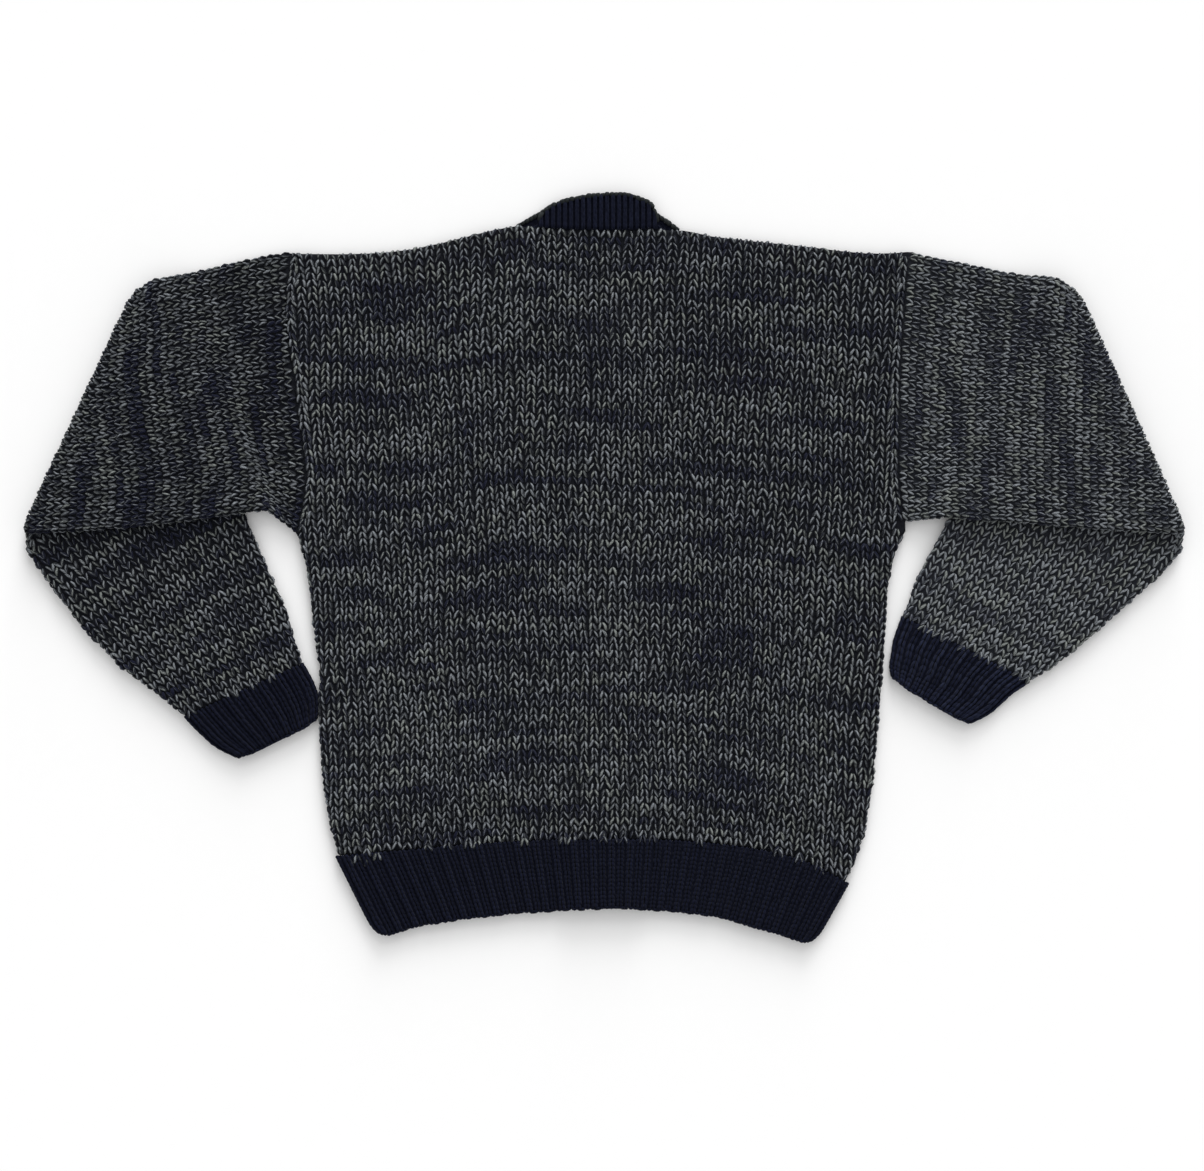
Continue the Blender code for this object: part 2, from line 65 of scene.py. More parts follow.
# Cloth
KNIT_WALL = 4.5
RIB_WALL = 4.0
SEAM_GAP = 0.4
LAYER_GAP = 0.6
FOLD_GAP = 1.0
HALF_TUBE = KNIT_WALL + LAYER_GAP / 2
HALF_CUFF = RIB_WALL + LAYER_GAP / 2
FOLD_RADIUS = HALF_TUBE + FOLD_GAP / 2
SHELL_WALL = 2.4         # what the shell under the stitches keeps of the cloth's wall
SLEEVE_SHELL = 2.0       # and of a sleeve's, of ribbing and of the front bands
RIB_SHELL = 2.0
BAND_SHELL = 1.6
FLOOR_GAP = 0.1          # the least that any of it stands over the floor
BACK_UNDER = KNIT_WALL + LAYER_GAP

# Body
BAND_HALF = 18.0
BAND_WIDTH = 2 * BAND_HALF
V_POINT = 150.0
LIFT_FLAT = 20.0
LIFT_FOOT = 50.0
LIFT_FADE = (215.0, 270.0)
BACK_SLACK = 5.0
UNDERARM = (26.0, 40.0)
SWELL_INSET = 45.0
SWELL_FALL = 1.5
CENTRE_SEAM = -269.0
NECK_LEVEL = 346.0
BODY_ROLL = HALF_TUBE    # the body's side and shoulder folds
RIM_ROLL = RIB_WALL / 2  # a ribbed edge
ARMHOLE_FEET = {-1: 42.0, 1: 56.0}
ARMHOLE_TOP = 314.0

Side = namedtuple("Side", "y left right")
SIDES = (
    Side(-382, -219, 206), Side(-359, -231, 219), Side(-318, -252, 240), Side(-286, -266, 254),
    Side(-238, -278, 266), Side(-160, -286, 275), Side(-100, -286, 280), Side(-60, -291, 282),
    Side(0, -298, 288), Side(38, -307, 299), Side(56, -303, 298), Side(92, -298, 295),
    Side(151, -305, 295), Side(205, -312, 296), Side(259, -319, 300), Side(324, -312, 305),
)
Edge = namedtuple("Edge", "x y")
SHOULDER_LINE = (
    Edge(-330, 319), Edge(-251, 318.5), Edge(-200, 322), Edge(-164, 329), Edge(-88, 346),
    Edge(-58, 343), Edge(0, 341), Edge(53, 342), Edge(76, 342),
    Edge(109, 336), Edge(190, 327), Edge(263, 319), Edge(320, 321),
)
HEM_SEAM = (
    Edge(-280, -287), Edge(-220, -282), Edge(-113, -273), Edge(3, -269),
    Edge(92, -272), Edge(159, -280), Edge(205, -291), Edge(244, -306), Edge(260, -313),
)
HEM_EDGE = (
    Edge(-235, -372), Edge(-220, -368), Edge(-180, -357), Edge(-131, -349), Edge(-77, -344),
    Edge(3, -339), Edge(92, -345), Edge(137, -355), Edge(182, -368), Edge(212, -379),
)
HEM_CORNERS = (-227.0, 209.0)
NECK_POINTS = {-1: Edge(-88, 346), 1: Edge(76, 342)}
BAND_TIPS = {-1: 6.0, 1: 12.0}
Rise = namedtuple("Rise", "x height")
NECK_RISES = (
    Rise(-66, 5), Rise(-61, 16), Rise(-51, 24), Rise(-33, 31), Rise(-12, 35.5),
    Rise(4, 37), Rise(21, 37), Rise(35, 32), Rise(48, 25), Rise(52, 15), Rise(54, 6),
)
Swell = namedtuple("Swell", "x y reach_x reach_y height")
BACK_SWELLS = (
    Swell(-150, -222, 150, 42, 3.2), Swell(140, -225, 140, 42, 2.8),
    Swell(-205, 60, 70, 120, 1.8), Swell(190, 90, 80, 130, 2.2),
    Swell(-120, 250, 110, 60, 1.6), Swell(150, 245, 100, 70, 1.4),
)

# Soft creases: from one point to another, how far they reach to each side, and how high
# they stand. Those below zero are troughs.
Crease = namedtuple("Crease", "x0 y0 x1 y1 reach height")
BACK_CREASES = (
    Crease(-292, 40, -215, 96, 13, -1.5), Crease(-286, 14, -205, 34, 11, 1.2),
    Crease(284, 46, 214, 104, 14, -1.5), Crease(280, 18, 190, 30, 12, 1.1),
    Crease(-236, -262, -182, -236, 9, -1.1), Crease(-150, -258, -60, -250, 10, -0.9),
    Crease(-30, -256, 60, -252, 8, -0.8), Crease(92, -262, 176, -252, 10, -1.0),
    Crease(196, -276, 232, -248, 9, -1.2), Crease(-270, -150, -226, -96, 12, -1.1),
    Crease(262, -170, 232, -92, 13, -1.0), Crease(-90, 322, -128, 262, 11, -0.9),
    Crease(84, 318, 122, 250, 12, -0.8), Crease(-262, 236, -170, 262, 16, -0.8),
    Crease(250, 244, 178, 266, 14, -0.7), Crease(-60, -40, 70, -56, 20, 0.7),
)
SLEEVE_CREASES = {
    -1: (
        Crease(-318, 70, -402, 92, 12, -1.6), Crease(-322, 104, -380, 150, 11, -1.1),
        Crease(-352, 72, -470, 70, 13, 1.3), Crease(-420, 240, -452, 206, 12, -1.0),
        Crease(-330, 290, -360, 238, 12, -0.9), Crease(-452, 66, -540, 62, 10, -0.9),
    ),
    1: (
        Crease(312, 78, 392, 96, 12, -1.5), Crease(318, 112, 372, 158, 11, -1.2),
        Crease(346, 72, 462, 72, 13, 1.3), Crease(420, 246, 454, 214, 12, -1.0),
        Crease(326, 288, 352, 232, 12, -0.8), Crease(440, 68, 534, 60, 10, -1.0),
    ),
}

# Sleeves, from the armhole to the elbow fold and from there to the cuff
Upper = namedtuple("Upper", "top_x top_y under_x under_y lift full")
Lower = namedtuple("Lower", "inner_x inner_y outer_x outer_y full")
UPPER_SLEEVES = {
    -1: (
        Upper(-358, 311, -313, 42, 0.0, 1.0), Upper(-404, 300, -322, 49, 0.0, 2.0),
        Upper(-427, 294.5, -335, 59, 0.5, 1.0), Upper(-449, 290, -350, 58, 1.0, 1.0),
        Upper(-453.5, 287, -437, 46, 1.0, 1.5), Upper(-456.5, 284, -512, 39, 1.0, 1.0),
        Upper(-460, 281, -574, 36, 1.0, 0.0),
    ),
    1: (
        Upper(352, 309, 302, 48, 0.0, 1.0), Upper(399, 299, 308, 49, 0.0, 2.0),
        Upper(425, 294.5, 322, 50, 0.5, 1.0), Upper(451, 292, 336, 52, 1.0, 1.0),
        Upper(456, 289, 412, 47, 1.0, 1.5), Upper(460, 286, 495, 40, 1.0, 1.0),
        Upper(464, 281, 574, 36, 1.0, 0.0),
    ),
}
LOWER_SLEEVES = {
    -1: (
        Lower(-426, 208, -578, 16, 0.0), Lower(-392, 132, -548.5, -24, 0.0),
        Lower(-359, 57, -522, -59, 0.0), Lower(-339, 9, -486, -97, 1.0),
        Lower(-318.5, -37, -450, -123, 2.5), Lower(-301.5, -93, -421, -147, 0.6),
    ),
    1: (
        Lower(428, 215, 579, 18, 0.0), Lower(394, 149, 551, -13, 0.0),
        Lower(358, 80, 526, -34, 0.0), Lower(335, 35, 496, -61, 1.0),
        Lower(313.5, -5, 464, -88, 2.5), Lower(298.5, -46, 427, -112, 0.6),
    ),
}
FOREARM_CREASES = {
    -1: (
        Crease(-470, -30, -420, -84, 13, -1.2), Crease(-380, 20, -352, -20, 11, -1.0),
        Crease(-420, -100, -390, -60, 12, 0.9), Crease(-330, -10, -318, -60, 9, -0.8),
    ),
    1: (
        Crease(470, -20, 424, -66, 13, -1.1), Crease(378, 20, 350, -14, 11, -1.0),
        Crease(420, -80, 394, -44, 12, 0.9), Crease(322, 10, 312, -40, 9, -0.8),
    ),
}
CUFFS = {
    -1: (
        Lower(-291, -112, -411, -158, 0.8), Lower(-286, -126, -394, -174, 0.8),
        Lower(-284, -151, -368, -192, 0.4),
    ),
    1: (
        Lower(290, -70, 409, -124, 0.8), Lower(286.5, -92, 391, -141, 0.8),
        Lower(285, -108, 367, -158, 0.4),
    ),
}

# The cut of each sheet before it was sewn: its size in metres and its area
Cut = namedtuple("Cut", "flat area")

# What the uneven stitches of each piece are drawn from
SEEDS = {
    "body": 1, "fronts": 2, "armholes": 3, "upper": 5, "under": 9, "forearm": 13,
    "cuff_steps": 14, "elbow": 17, "hem_back": 21, "hem_front_left": 22,
    "hem_front_right": 23, "cuffs": 31, "neckband": 41, "bands": 51, "tips": 53,
    "steps_on_hem": 61, "steps_on_cuffs": 62,
}

# Stitches of the back and the fronts
BODY_COURSES = 88
BODY_WALES = 64          # laid out wide enough for the broadest row
BODY_COURSE = 6.9
WALE_LOW = 0.98          # a body stitch's width at the hem
WALE_HIGH = 1.10         # and at the shoulders
Wave = namedtuple("Wave", "height across up")
WALE_WAVES = (Wave(1.3, 0.35, 0.13), Wave(0.9, -0.11, 0.31))
COURSE_WAVE = Wave(0.8, 0.21, 0.05)
FIRST_COURSE = 1.0       # how far the first row starts from its seam
ROLL_KEPT = 0.82         # how far round a fold stitches go, as a share of its radius
ARMHOLE_SPARE = {-1: 1.5, 1: 6.4}    # room left at the armholes, on the fronts and the back
FOLD_SPARE = -0.5        # and at the folds, the seams and the front bands
SEAM_SPARE = 2.0
FRONT_SPARE = 2.5
EDGE_WIDTH = 8.6         # the column beside each armhole, and how far it lies in from it
EDGE_INSET = 4.4
EDGE_FOOT = 4.0          # how far it goes past the armhole's foot and top
EDGE_HEAD = 3.5
STEP_SHARE = 0.45        # how many stitches reach over the seam to the ribbing
STEP_ROW = -0.62
STEP_RISE = 0.7          # how high over the sunken seam they lie
STEP_INSET = 7.0         # and how far in from the body's sides
STRAY_STITCHES = ((-24.5, -1.4), (-23.5, -2.0), (-22.5, -1.3), (-25.5, -1.9))
UNDER_SINK = 1.8         # the shell's depth where the cloth rests, under flatter stitches

# Stitches of the sleeves
SLEEVE_WALES = 33
SLEEVE_START = 0.25      # the first row, out from the armhole
SLEEVE_EDGE = 0.02       # how close to its rounded edges a sleeve's columns are measured
FOREARM_WALES = 36       # laid out wide enough for the elbow
FOREARM_COURSES = 56
FOREARM_LEAN = 33.0      # how far its columns lean from upright, and how far they spread
FOREARM_FAN = 4.0
FOREARM_WAVE = Wave(1.2, 0.03, 0.2)
FOREARM_SPARE = 0.3
TUCK = 14.0              # how far the forearm's stitches run on under the upper sleeve
FOLD_PAST = 6.0          # and past the elbow fold
UNDER_PAST = 8.0         # how far the upper sleeve's underside is knitted over the forearm
ROUND_SHARE = 0.7        # how far round the elbow fold the upper sleeve's rows go
# Where the knitting turns round each elbow's outer corner, as the middle of its stitches
ELBOWS = {
    -1: ((-573.5, 52), (-575.5, 44), (-575.5, 33), (-574, 22), (-569, 13)),
    1: ((573, 54), (576.5, 45), (577, 34), (572.5, 23), (565, 13)),
}
ELBOW_LEVELS = (3.5, 7.5)    # the heights of its two columns
ELBOW_WIDTH = 7.0

# Stitches of the ribbing
HEM_RIBS = 27
FRONT_HEM_RIBS = {-1: 14, 1: 13}
HEM_COURSES = 17
HEM_COURSE = 5.2
HEM_CORNER = 9.0         # how far from a corner the hem rounds off
HEM_ROUNDING = (3.0, 4.0)
HEM_TALL = 75.0          # the height that its shell's rows are laid out for
CUFF_RIBS = 7
CUFF_COURSES = 10
CUFF_COURSE = 5.0
CUFF_CORNER = 9.0
CUFF_ROUNDING = (2.5, 2.0)
CUFF_EDGE = 5.0          # how far round its folds a cuff is ribbed
NECK_RIBS = 20
NECK_COURSES = 8
NECK_COURSE = 4.4
NECK_TALL = 34.0
NECK_SINK = 1.2          # how far the neckband's foot lies under the shoulders' edge
NECK_FOOT = 3.0          # and how soon it comes out from there
BAND_RIB = 8.0
BAND_COURSES = 7
BAND_COURSE = 5.1
BAND_STEP = 7.0          # the length of each step of a front band's shell
RIB_RISE = 1.3           # how high the ribs stand over the cloth between them
RIB_STEPS = 6            # how many columns of the shell a rib takes
TIP_REACH = 31.0         # how much of each front band shows beside the neck
TIP_SINK = 0.9
EDGE_LUMP_LENGTH = 5.6   # the stitches along the rims
CUFF_LUMP_LENGTH = 5.0
WORN_LUMP_LENGTH = 4.4
LUMP_SCALE = (5.0, 4.0)

# Tones: how much lighter a yarn looks than the body's, and the ground between the stitches, whose
# dark colour is painted shade in the gaps between them
UPPER_TONES = {-1: -0.75, 1: 0.50}
FOREARM_TONES = {-1: -0.05, 1: 2.90}
CUFF_TONES = {-1: -0.05, 1: 1.60}
NECK_TONE = 0.7
RIM_TONE = 3.0
PALER_NAVY = (2.5, 2.3, 1.75)   # how much paler the navy gets on the right cuff
SHADED_MARL_GROUNDS = {
    -1: ("marled_ground", (0.0058, 0.0066, 0.0094)),
    1: ("pale_marled_ground", (0.0140, 0.0158, 0.0205)),
}
# Darker than the ribbing's navy yarn: painted shade between the stitches
SHADED_NAVY_GROUND = (0.0024, 0.0032, 0.0088)

# Buttons
BUTTON_RADIUS = 11.0
BUTTON_SPAN = (0.6, 4.7)   # the heights of its two faces
BUTTON_PLACES = (128.0, 16.0, -96.0, -208.0, -318.0)    # up the body
BUTTON_EYES = 4
BUTTON_RIM = 2.2
BUTTON_DISH = (0.7, 0.8)   # how far the dish's wall leans in, and its depth
BUTTON_SIDES = 40
EYE_RADIUS = 1.15
EYE_RING = 2.6           # how far the eyes' middles lie from the button's
EYE_SIDES = 16
EYE_CUT = 12.0           # longer than the button is thick
BUTTON_BEVEL = 0.5

# A length of yarn: how far across and up it lies, in stitches, how high its middle stands
# over the shell, and how wide and high it is to each side of its middle, in millimetres
Turn = namedtuple("Turn", "across up lift wide high")
KNIT_LEG = (
    Turn(0.40, -0.31, -0.8, 0.0, 0.0),
    Turn(0.36, -0.01, 0.6, 1.45, 1.4),
    Turn(0.265, 0.43, 1.35, 1.8, 1.75),
    Turn(0.15, 0.84, 0.9, 1.45, 1.4),
    Turn(0.07, 1.14, -0.8, 0.0, 0.0),
)
SLEEVE_LEG = (
    Turn(0.44, -0.24, -0.8, 0.0, 0.0),
    Turn(0.40, 0.02, 0.6, 1.4, 1.3),
    Turn(0.29, 0.41, 1.3, 1.75, 1.65),
    Turn(0.15, 0.79, 0.9, 1.4, 1.3),
    Turn(0.05, 1.06, -0.8, 0.0, 0.0),
)
FLAT_LEG = (
    Turn(0.37, -0.34, -0.6, 0.0, 0.0),
    Turn(0.31, 0.15, 0.35, 1.8, 1.1),
    Turn(0.17, 0.70, 0.35, 1.8, 1.1),
    Turn(0.05, 1.16, -0.6, 0.0, 0.0),
)
RIB_LEG = (
    Turn(0.118, -0.42, 0.6, 0.0, 0.0),
    Turn(0.114, 0.01, 1.2, 1.45, 1.05),
    Turn(0.102, 0.50, 1.4, 1.75, 1.15),
    Turn(0.086, 0.99, 1.2, 1.45, 1.05),
    Turn(0.078, 1.38, 0.6, 0.0, 0.0),
)
PURL_BUMPS = tuple(
    (
        Turn(middle - 0.20, 0.30, -0.4, 0.0, 0.0),
        Turn(middle - 0.10, 0.48, 0.0, 2.3, 0.55),
        Turn(middle, 0.54, 0.1, 2.6, 0.6),
        Turn(middle + 0.10, 0.48, 0.0, 2.3, 0.55),
        Turn(middle + 0.20, 0.30, -0.4, 0.0, 0.0),
    )
    for middle in (0.37, 0.63)
)
# VALLEY_SHADE paints the stitches between two ribs darker: painted shade in the valleys
VALLEY_DROP = 0.5        # how much lower and darker the stitches between two ribs lie
VALLEY_SHADE = 0.45
RIB_CALM = 0.22          # how uneven ribbing is, as a share of the other knitting
VALLEY_LEGS = tuple(
    tuple(
        turn._replace(across=0.5 + hand * turn.across, lift=turn.lift - VALLEY_DROP)
        for turn in RIB_LEG
    )
    for hand in (-1, 1)
)
NECK_LEG = (
    Turn(0.17, -1.00, 0.5, 0.0, 0.0),
    Turn(0.16, -0.25, 1.0, 1.15, 0.95),
    Turn(0.15, 0.50, 1.1, 1.3, 1.0),
    Turn(0.14, 1.25, 1.0, 1.15, 0.95),
    Turn(0.13, 2.00, 0.5, 0.0, 0.0),
)
FLAT_RIB_LEG = (
    Turn(0.19, -0.30, -0.4, 0.0, 0.0),
    Turn(0.18, 0.15, 0.5, 1.1, 0.9),
    Turn(0.13, 0.75, 0.5, 1.1, 0.9),
    Turn(0.11, 1.25, -0.4, 0.0, 0.0),
)
EDGE_LUMP = (
    Turn(-0.62, -0.10, -0.6, 0.0, 0.0),
    Turn(-0.30, -0.02, 0.3, 1.3, 1.1),
    Turn(0.05, 0.05, 0.7, 1.6, 1.3),
    Turn(0.38, 0.10, 0.3, 1.2, 1.0),
    Turn(0.66, 0.14, -0.6, 0.0, 0.0),
)
RIM_LUMP = (
    Turn(-0.70, -0.10, -0.4, 0.0, 0.0),
    Turn(-0.32, -0.02, 0.8, 2.2, 1.4),
    Turn(0.05, 0.03, 1.1, 2.5, 1.6),
    Turn(0.42, 0.08, 0.8, 2.1, 1.4),
    Turn(0.78, 0.12, -0.4, 0.0, 0.0),
)
YARN_TOP = 0.39          # how far round a yarn its top lies
ROUND_YARN = np.radians([-25.0, 35.0, 90.0, 145.0, 205.0])
FLAT_YARN = np.radians([-20.0, 55.0, 125.0, 200.0])


def length_setting(name, description, default, least, most):
    """A length among the settings."""
    return FloatProperty(
        name=name, description=description, default=default, min=least, max=most, precision=4,
        subtype="DISTANCE", unit="LENGTH",
    )


def colour_setting(name, description, default):
    """A colour among the settings."""
    return FloatVectorProperty(
        name=name, description=description, default=default, min=0.0, max=1.0,
        subtype="COLOR",
    )


def light_setting(name, description, default):
    """The strength of a light among the settings."""
    return FloatProperty(name=name, description=description, default=default, min=0.0, max=20.0)


class KnitSettings(bpy.types.PropertyGroup):
    """Sizes of the stitches."""

    stitch_width: length_setting(
        "Stitch Width", "Width of a body stitch", 0.0100, 0.004, 0.03
    )
    sleeve_course: length_setting(
        "Sleeve Row", "Height of a row of sleeve stitches", 0.0076, 0.004, 0.03
    )
    sleeve_width: length_setting(
        "Sleeve Stitch Width", "Width of a stitch near the cuff", 0.0088, 0.004, 0.03
    )
    sink: length_setting(
        "Shell Depth", "How far the shell lies under the cloth's face", 0.0020, 0.0, 0.003
    )
    rib_sink: length_setting(
        "Rib Shell Depth", "How far the shell lies under a ribbed face", 0.0012, 0.0, 0.003
    )
    unevenness: FloatProperty(
        name="Unevenness", description="How unevenly the stitches sit, as a share of one",
        default=0.075, min=0.0, max=0.3, subtype="FACTOR",
    )


class YarnSettings(bpy.types.PropertyGroup):
    """Colours of the yarns and the buttons."""

    black: colour_setting("Black Ply", "Colour of the darkest ply", (0.0046, 0.0056, 0.0088))
    navy: colour_setting("Navy Ply", "Colour of the blue ply", (0.0050, 0.0062, 0.0170))
    grey: colour_setting("Grey Ply", "Colour of the light ply", (0.182, 0.197, 0.213))
    rib_navy: colour_setting("Rib Navy", "Colour of the ribbing", (0.0030, 0.0042, 0.0125))
    rim: colour_setting("Rim", "Colour of the neckband's worn edge", (0.0175, 0.0205, 0.0215))
    button: colour_setting("Button", "Colour of the buttons", (0.016, 0.015, 0.014))
    twist: length_setting(
        "Ply Twist", "Length of yarn in which its plies turn once", 0.021, 0.005, 0.1
    )


class StageSettings(bpy.types.PropertyGroup):
    """The floor, the lights and the camera."""

    floor: colour_setting("Floor", "Colour of the floor", (0.90, 0.90, 0.90))
    key: light_setting("Key Light", "Strength of the soft light from beyond the neck", 1.25)
    low: light_setting(
        "Low Light", "Strength of the lower light, which casts long shadows", 2.4
    )
    sky: light_setting("Sky", "Strength of the even light from all round", 0.75)
    softness: FloatProperty(
        name="Softness", description="How large the key light looks from the cloth",
        default=math.radians(40.0), min=0.0, max=math.pi, subtype="ANGLE", unit="ROTATION",
    )
    eye_height: length_setting(
        "Camera Height", "Height of the camera over the cloth", 2.4, 0.5, 10.0
    )
    field_width: length_setting(
        "Field Width", "Width of what the camera sees at the cloth", 1.204, 0.2, 5.0
    )


def settings():
    """The settings of the stitches, the yarns and the stage."""
    scene = bpy.context.scene
    return scene.cardigan_knit, scene.cardigan_yarn, scene.cardigan_stage


# Curves and heights


def lerp(start, end, share):
    """The value at a share of the way from one to another."""
    return start + (end - start) * share


def smooth_step(share):
    """A share that starts and ends softly."""
    share = np.clip(share, 0.0, 1.0)
    return share * share * (3.0 - 2.0 * share)


def wave(across, up, *waves):
    """How far slow waves move what lies at a place across and up."""
    return sum(w.height * np.sin(up * w.up + across * w.across) for w in waves)


def curve(places, values):
    """A smooth curve through values at rising places, read with an array of places."""
    at, value = np.asarray(places, float), np.asarray(values, float)
    run = at.reshape(-1, *[1] * (value.ndim - 1))
    slope = np.empty_like(value)
    slope[1:-1] = (value[2:] - value[:-2]) / (run[2:] - run[:-2])
    slope[0] = (value[1] - value[0]) / (run[1] - run[0])
    slope[-1] = (value[-1] - value[-2]) / (run[-1] - run[-2])

    def read(place):
        place = np.clip(np.asarray(place, float), at[0], at[-1])
        i = np.clip(np.searchsorted(at, place, side="right") - 1, 0, len(at) - 2)
        t = (place - at[i]) / (at[i + 1] - at[i])
        t = np.reshape(t, np.shape(t) + (1,) * (value.ndim - 1))
        span = np.reshape(at[i + 1] - at[i], np.shape(t))
        return (
            (2 * t**3 - 3 * t**2 + 1) * value[i] + (t**3 - 2 * t**2 + t) * slope[i] * span
            + (-2 * t**3 + 3 * t**2) * value[i + 1] + (t**3 - t**2) * slope[i + 1] * span
        )

    return read


SIDE_EDGE = {
    -1: curve([row.y for row in SIDES], [row.left for row in SIDES]),
    1: curve([row.y for row in SIDES], [row.right for row in SIDES]),
}
SHOULDER = curve(*zip(*SHOULDER_LINE))
SEAM_OF_HEM = curve(*zip(*HEM_SEAM))
FOOT_OF_HEM = curve(*zip(*HEM_EDGE))
RISE_OF_NECK = curve(*zip(*NECK_RISES))


def neck_edge(y, side):
    """A front's inner edge, beside its band."""
    seam = side * (BAND_HALF + SEAM_GAP)
    point = NECK_POINTS[side]
    share = np.clip((y - V_POINT) / (point.y - V_POINT), 0.0, None)
    return lerp(seam, point.x + side * SEAM_GAP, share)


def band_lift(x, y, slack=0.0):
    """How far the doubled front bands raise the cloth that lies on them."""
    reach = smooth_step((LIFT_FOOT + slack - np.abs(x)) / (LIFT_FOOT - LIFT_FLAT))
    fade = 1.0 - smooth_step((y - LIFT_FADE[0]) / (LIFT_FADE[1] - LIFT_FADE[0]))
    return BACK_UNDER * reach * fade


CREASE_FADE = 0.25       # how far past a crease's end it fades, as a share of its length


def crease_height(x, y, creases):
    """The sum of soft ridges and troughs, each fading out at its two ends."""
    height = np.zeros(np.shape(x))
    for c in creases:
        way = np.array([c.x1 - c.x0, c.y1 - c.y0], float)
        length = np.hypot(*way)
        way /= length
        along = ((x - c.x0) * way[0] + (y - c.y0) * way[1]) / length
        across = (x - c.x0) * -way[1] + (y - c.y0) * way[0]
        begun = smooth_step((along + CREASE_FADE) / (2 * CREASE_FADE))
        ended = smooth_step((1.0 + CREASE_FADE - along) / (2 * CREASE_FADE))
        height += c.height * (begun * ended) * np.exp(-(across / c.reach) ** 2)
    return height


def back_top(x, y):
    """The upper face of the back, before it rolls over its edges."""
    height = np.zeros(np.shape(x))
    for swell in BACK_SWELLS:
        far = ((x - swell.x) / swell.reach_x) ** 2 + ((y - swell.y) / swell.reach_y) ** 2
        height += swell.height * np.exp(-SWELL_FALL * far)
    height += crease_height(x, y, BACK_CREASES)
    inset = np.minimum(
        np.minimum(x - SIDE_EDGE[-1](y), SIDE_EDGE[1](y) - x),
        np.minimum(SHOULDER(x) - y, y - SEAM_OF_HEM(x)),
    )
    settled = smooth_step(inset / SWELL_INSET)
    return BACK_UNDER + KNIT_WALL + band_lift(x, y, BACK_SLACK) + height * settled


def rolled(inset, radius):
    """Where cloth that rolls over an edge goes: how far it draws in, and how far it drops.

    The inset is the flat cloth's, and runs below zero as it goes round the edge.
    """
    past = np.clip(radius - inset, 0.0, None)
    turn = np.minimum(past / radius, math.pi * 0.5)
    return past - radius * np.sin(turn), radius * (1.0 - np.cos(turn))


def in_neck(x):
    """Whether a place across the body lies under the neckband."""
    return (x > NECK_RISES[0].x) & (x < NECK_RISES[-1].x)


def roll_edges(x, y, z, edges, radius, upwards):
    """Draws flat places in and down where they pass the edges.

    Each edge gives the places' inset from it, its way out and how freely it rolls.
    """
    for inset, out_x, out_y, free in edges:
        draw, drop = rolled(inset, radius)
        x = x - out_x * draw * free
        y = y - out_y * draw * free
        z = z - upwards * drop * free
    return np.stack(np.broadcast_arrays(x, y, z), axis=-1)


def body_face(x, y, height, sink, upwards):
    """Flat places on the back or a front, rolled over the side and shoulder folds."""
    sewn = smooth_step((y - UNDERARM[0]) / (UNDERARM[1] - UNDERARM[0]))
    edges = [(side * (SIDE_EDGE[side](y) - x) - sink, side, 0, 1.0 - sewn) for side in (-1, 1)]
    edges.append((SHOULDER(x) - y - sink, 0, 1, np.where(in_neck(x), 0.0, 1.0)))
    return roll_edges(x, y, height - upwards * sink, edges, BODY_ROLL - sink, upwards)


# Cloth shells


ROLL_STEPS = np.array([-0.57, -0.2, 0.2, 0.6, 1.0])
RISE_STEPS = 60          # rows of a body panel's shell
BACK_STEPS = 50          # and its columns
FRONT_STEPS = 29
SEAM_STEPS = 58


def spread(steps, radius, rolled_start, rolled_end):
    """Shares across a cloth, and how far past them each place lies, close where it rolls."""
    share, past = np.linspace(0.0, 1.0, steps), np.zeros(steps)
    out = (ROLL_STEPS[:-1] - 1.0) * radius
    if rolled_start:
        share, past = np.append(0.0 * out, share), np.append(out, past)
    if rolled_end:
        share, past = np.append(share, 1.0 + 0.0 * out), np.append(past, -out[::-1])
    return share, past


def body_grid(left, right, rolled_left, rolled_right, steps):
    """Flat places of a body panel, from the hem seam to the shoulder fold."""
    across, out = spread(steps, BODY_ROLL, rolled_left, rolled_right)
    up, above = spread(RISE_STEPS, BODY_ROLL, False, True)
    across, out = across[None, :], out[None, :]
    up, above = up[:, None], above[:, None]
    inset_left = BODY_ROLL if rolled_left else 0.0
    inset_right = BODY_ROLL if rolled_right else 0.0

    def x_at(y):
        return lerp(left(y) + inset_left, right(y) - inset_right, across) + out

    x_low, x_high = x_at(CENTRE_SEAM), x_at(NECK_LEVEL)
    y = lerp(SEAM_OF_HEM(x_low) + SEAM_GAP, SHOULDER(x_high) - BODY_ROLL, up) + above
    y = np.where(in_neck(x_high), np.minimum(y, SHOULDER(x_high) - SEAM_GAP), y)
    return x_at(y), y


SEAM_LINE = tuple(
    row[0] for row in body_grid(SIDE_EDGE[-1], SIDE_EDGE[1], True, True, SEAM_STEPS)
)


def seam_height(x):
    """Where the body's bottom row runs, along the hem."""
    return np.interp(x, *SEAM_LINE)


Cloth = namedtuple("Cloth", "piece face")


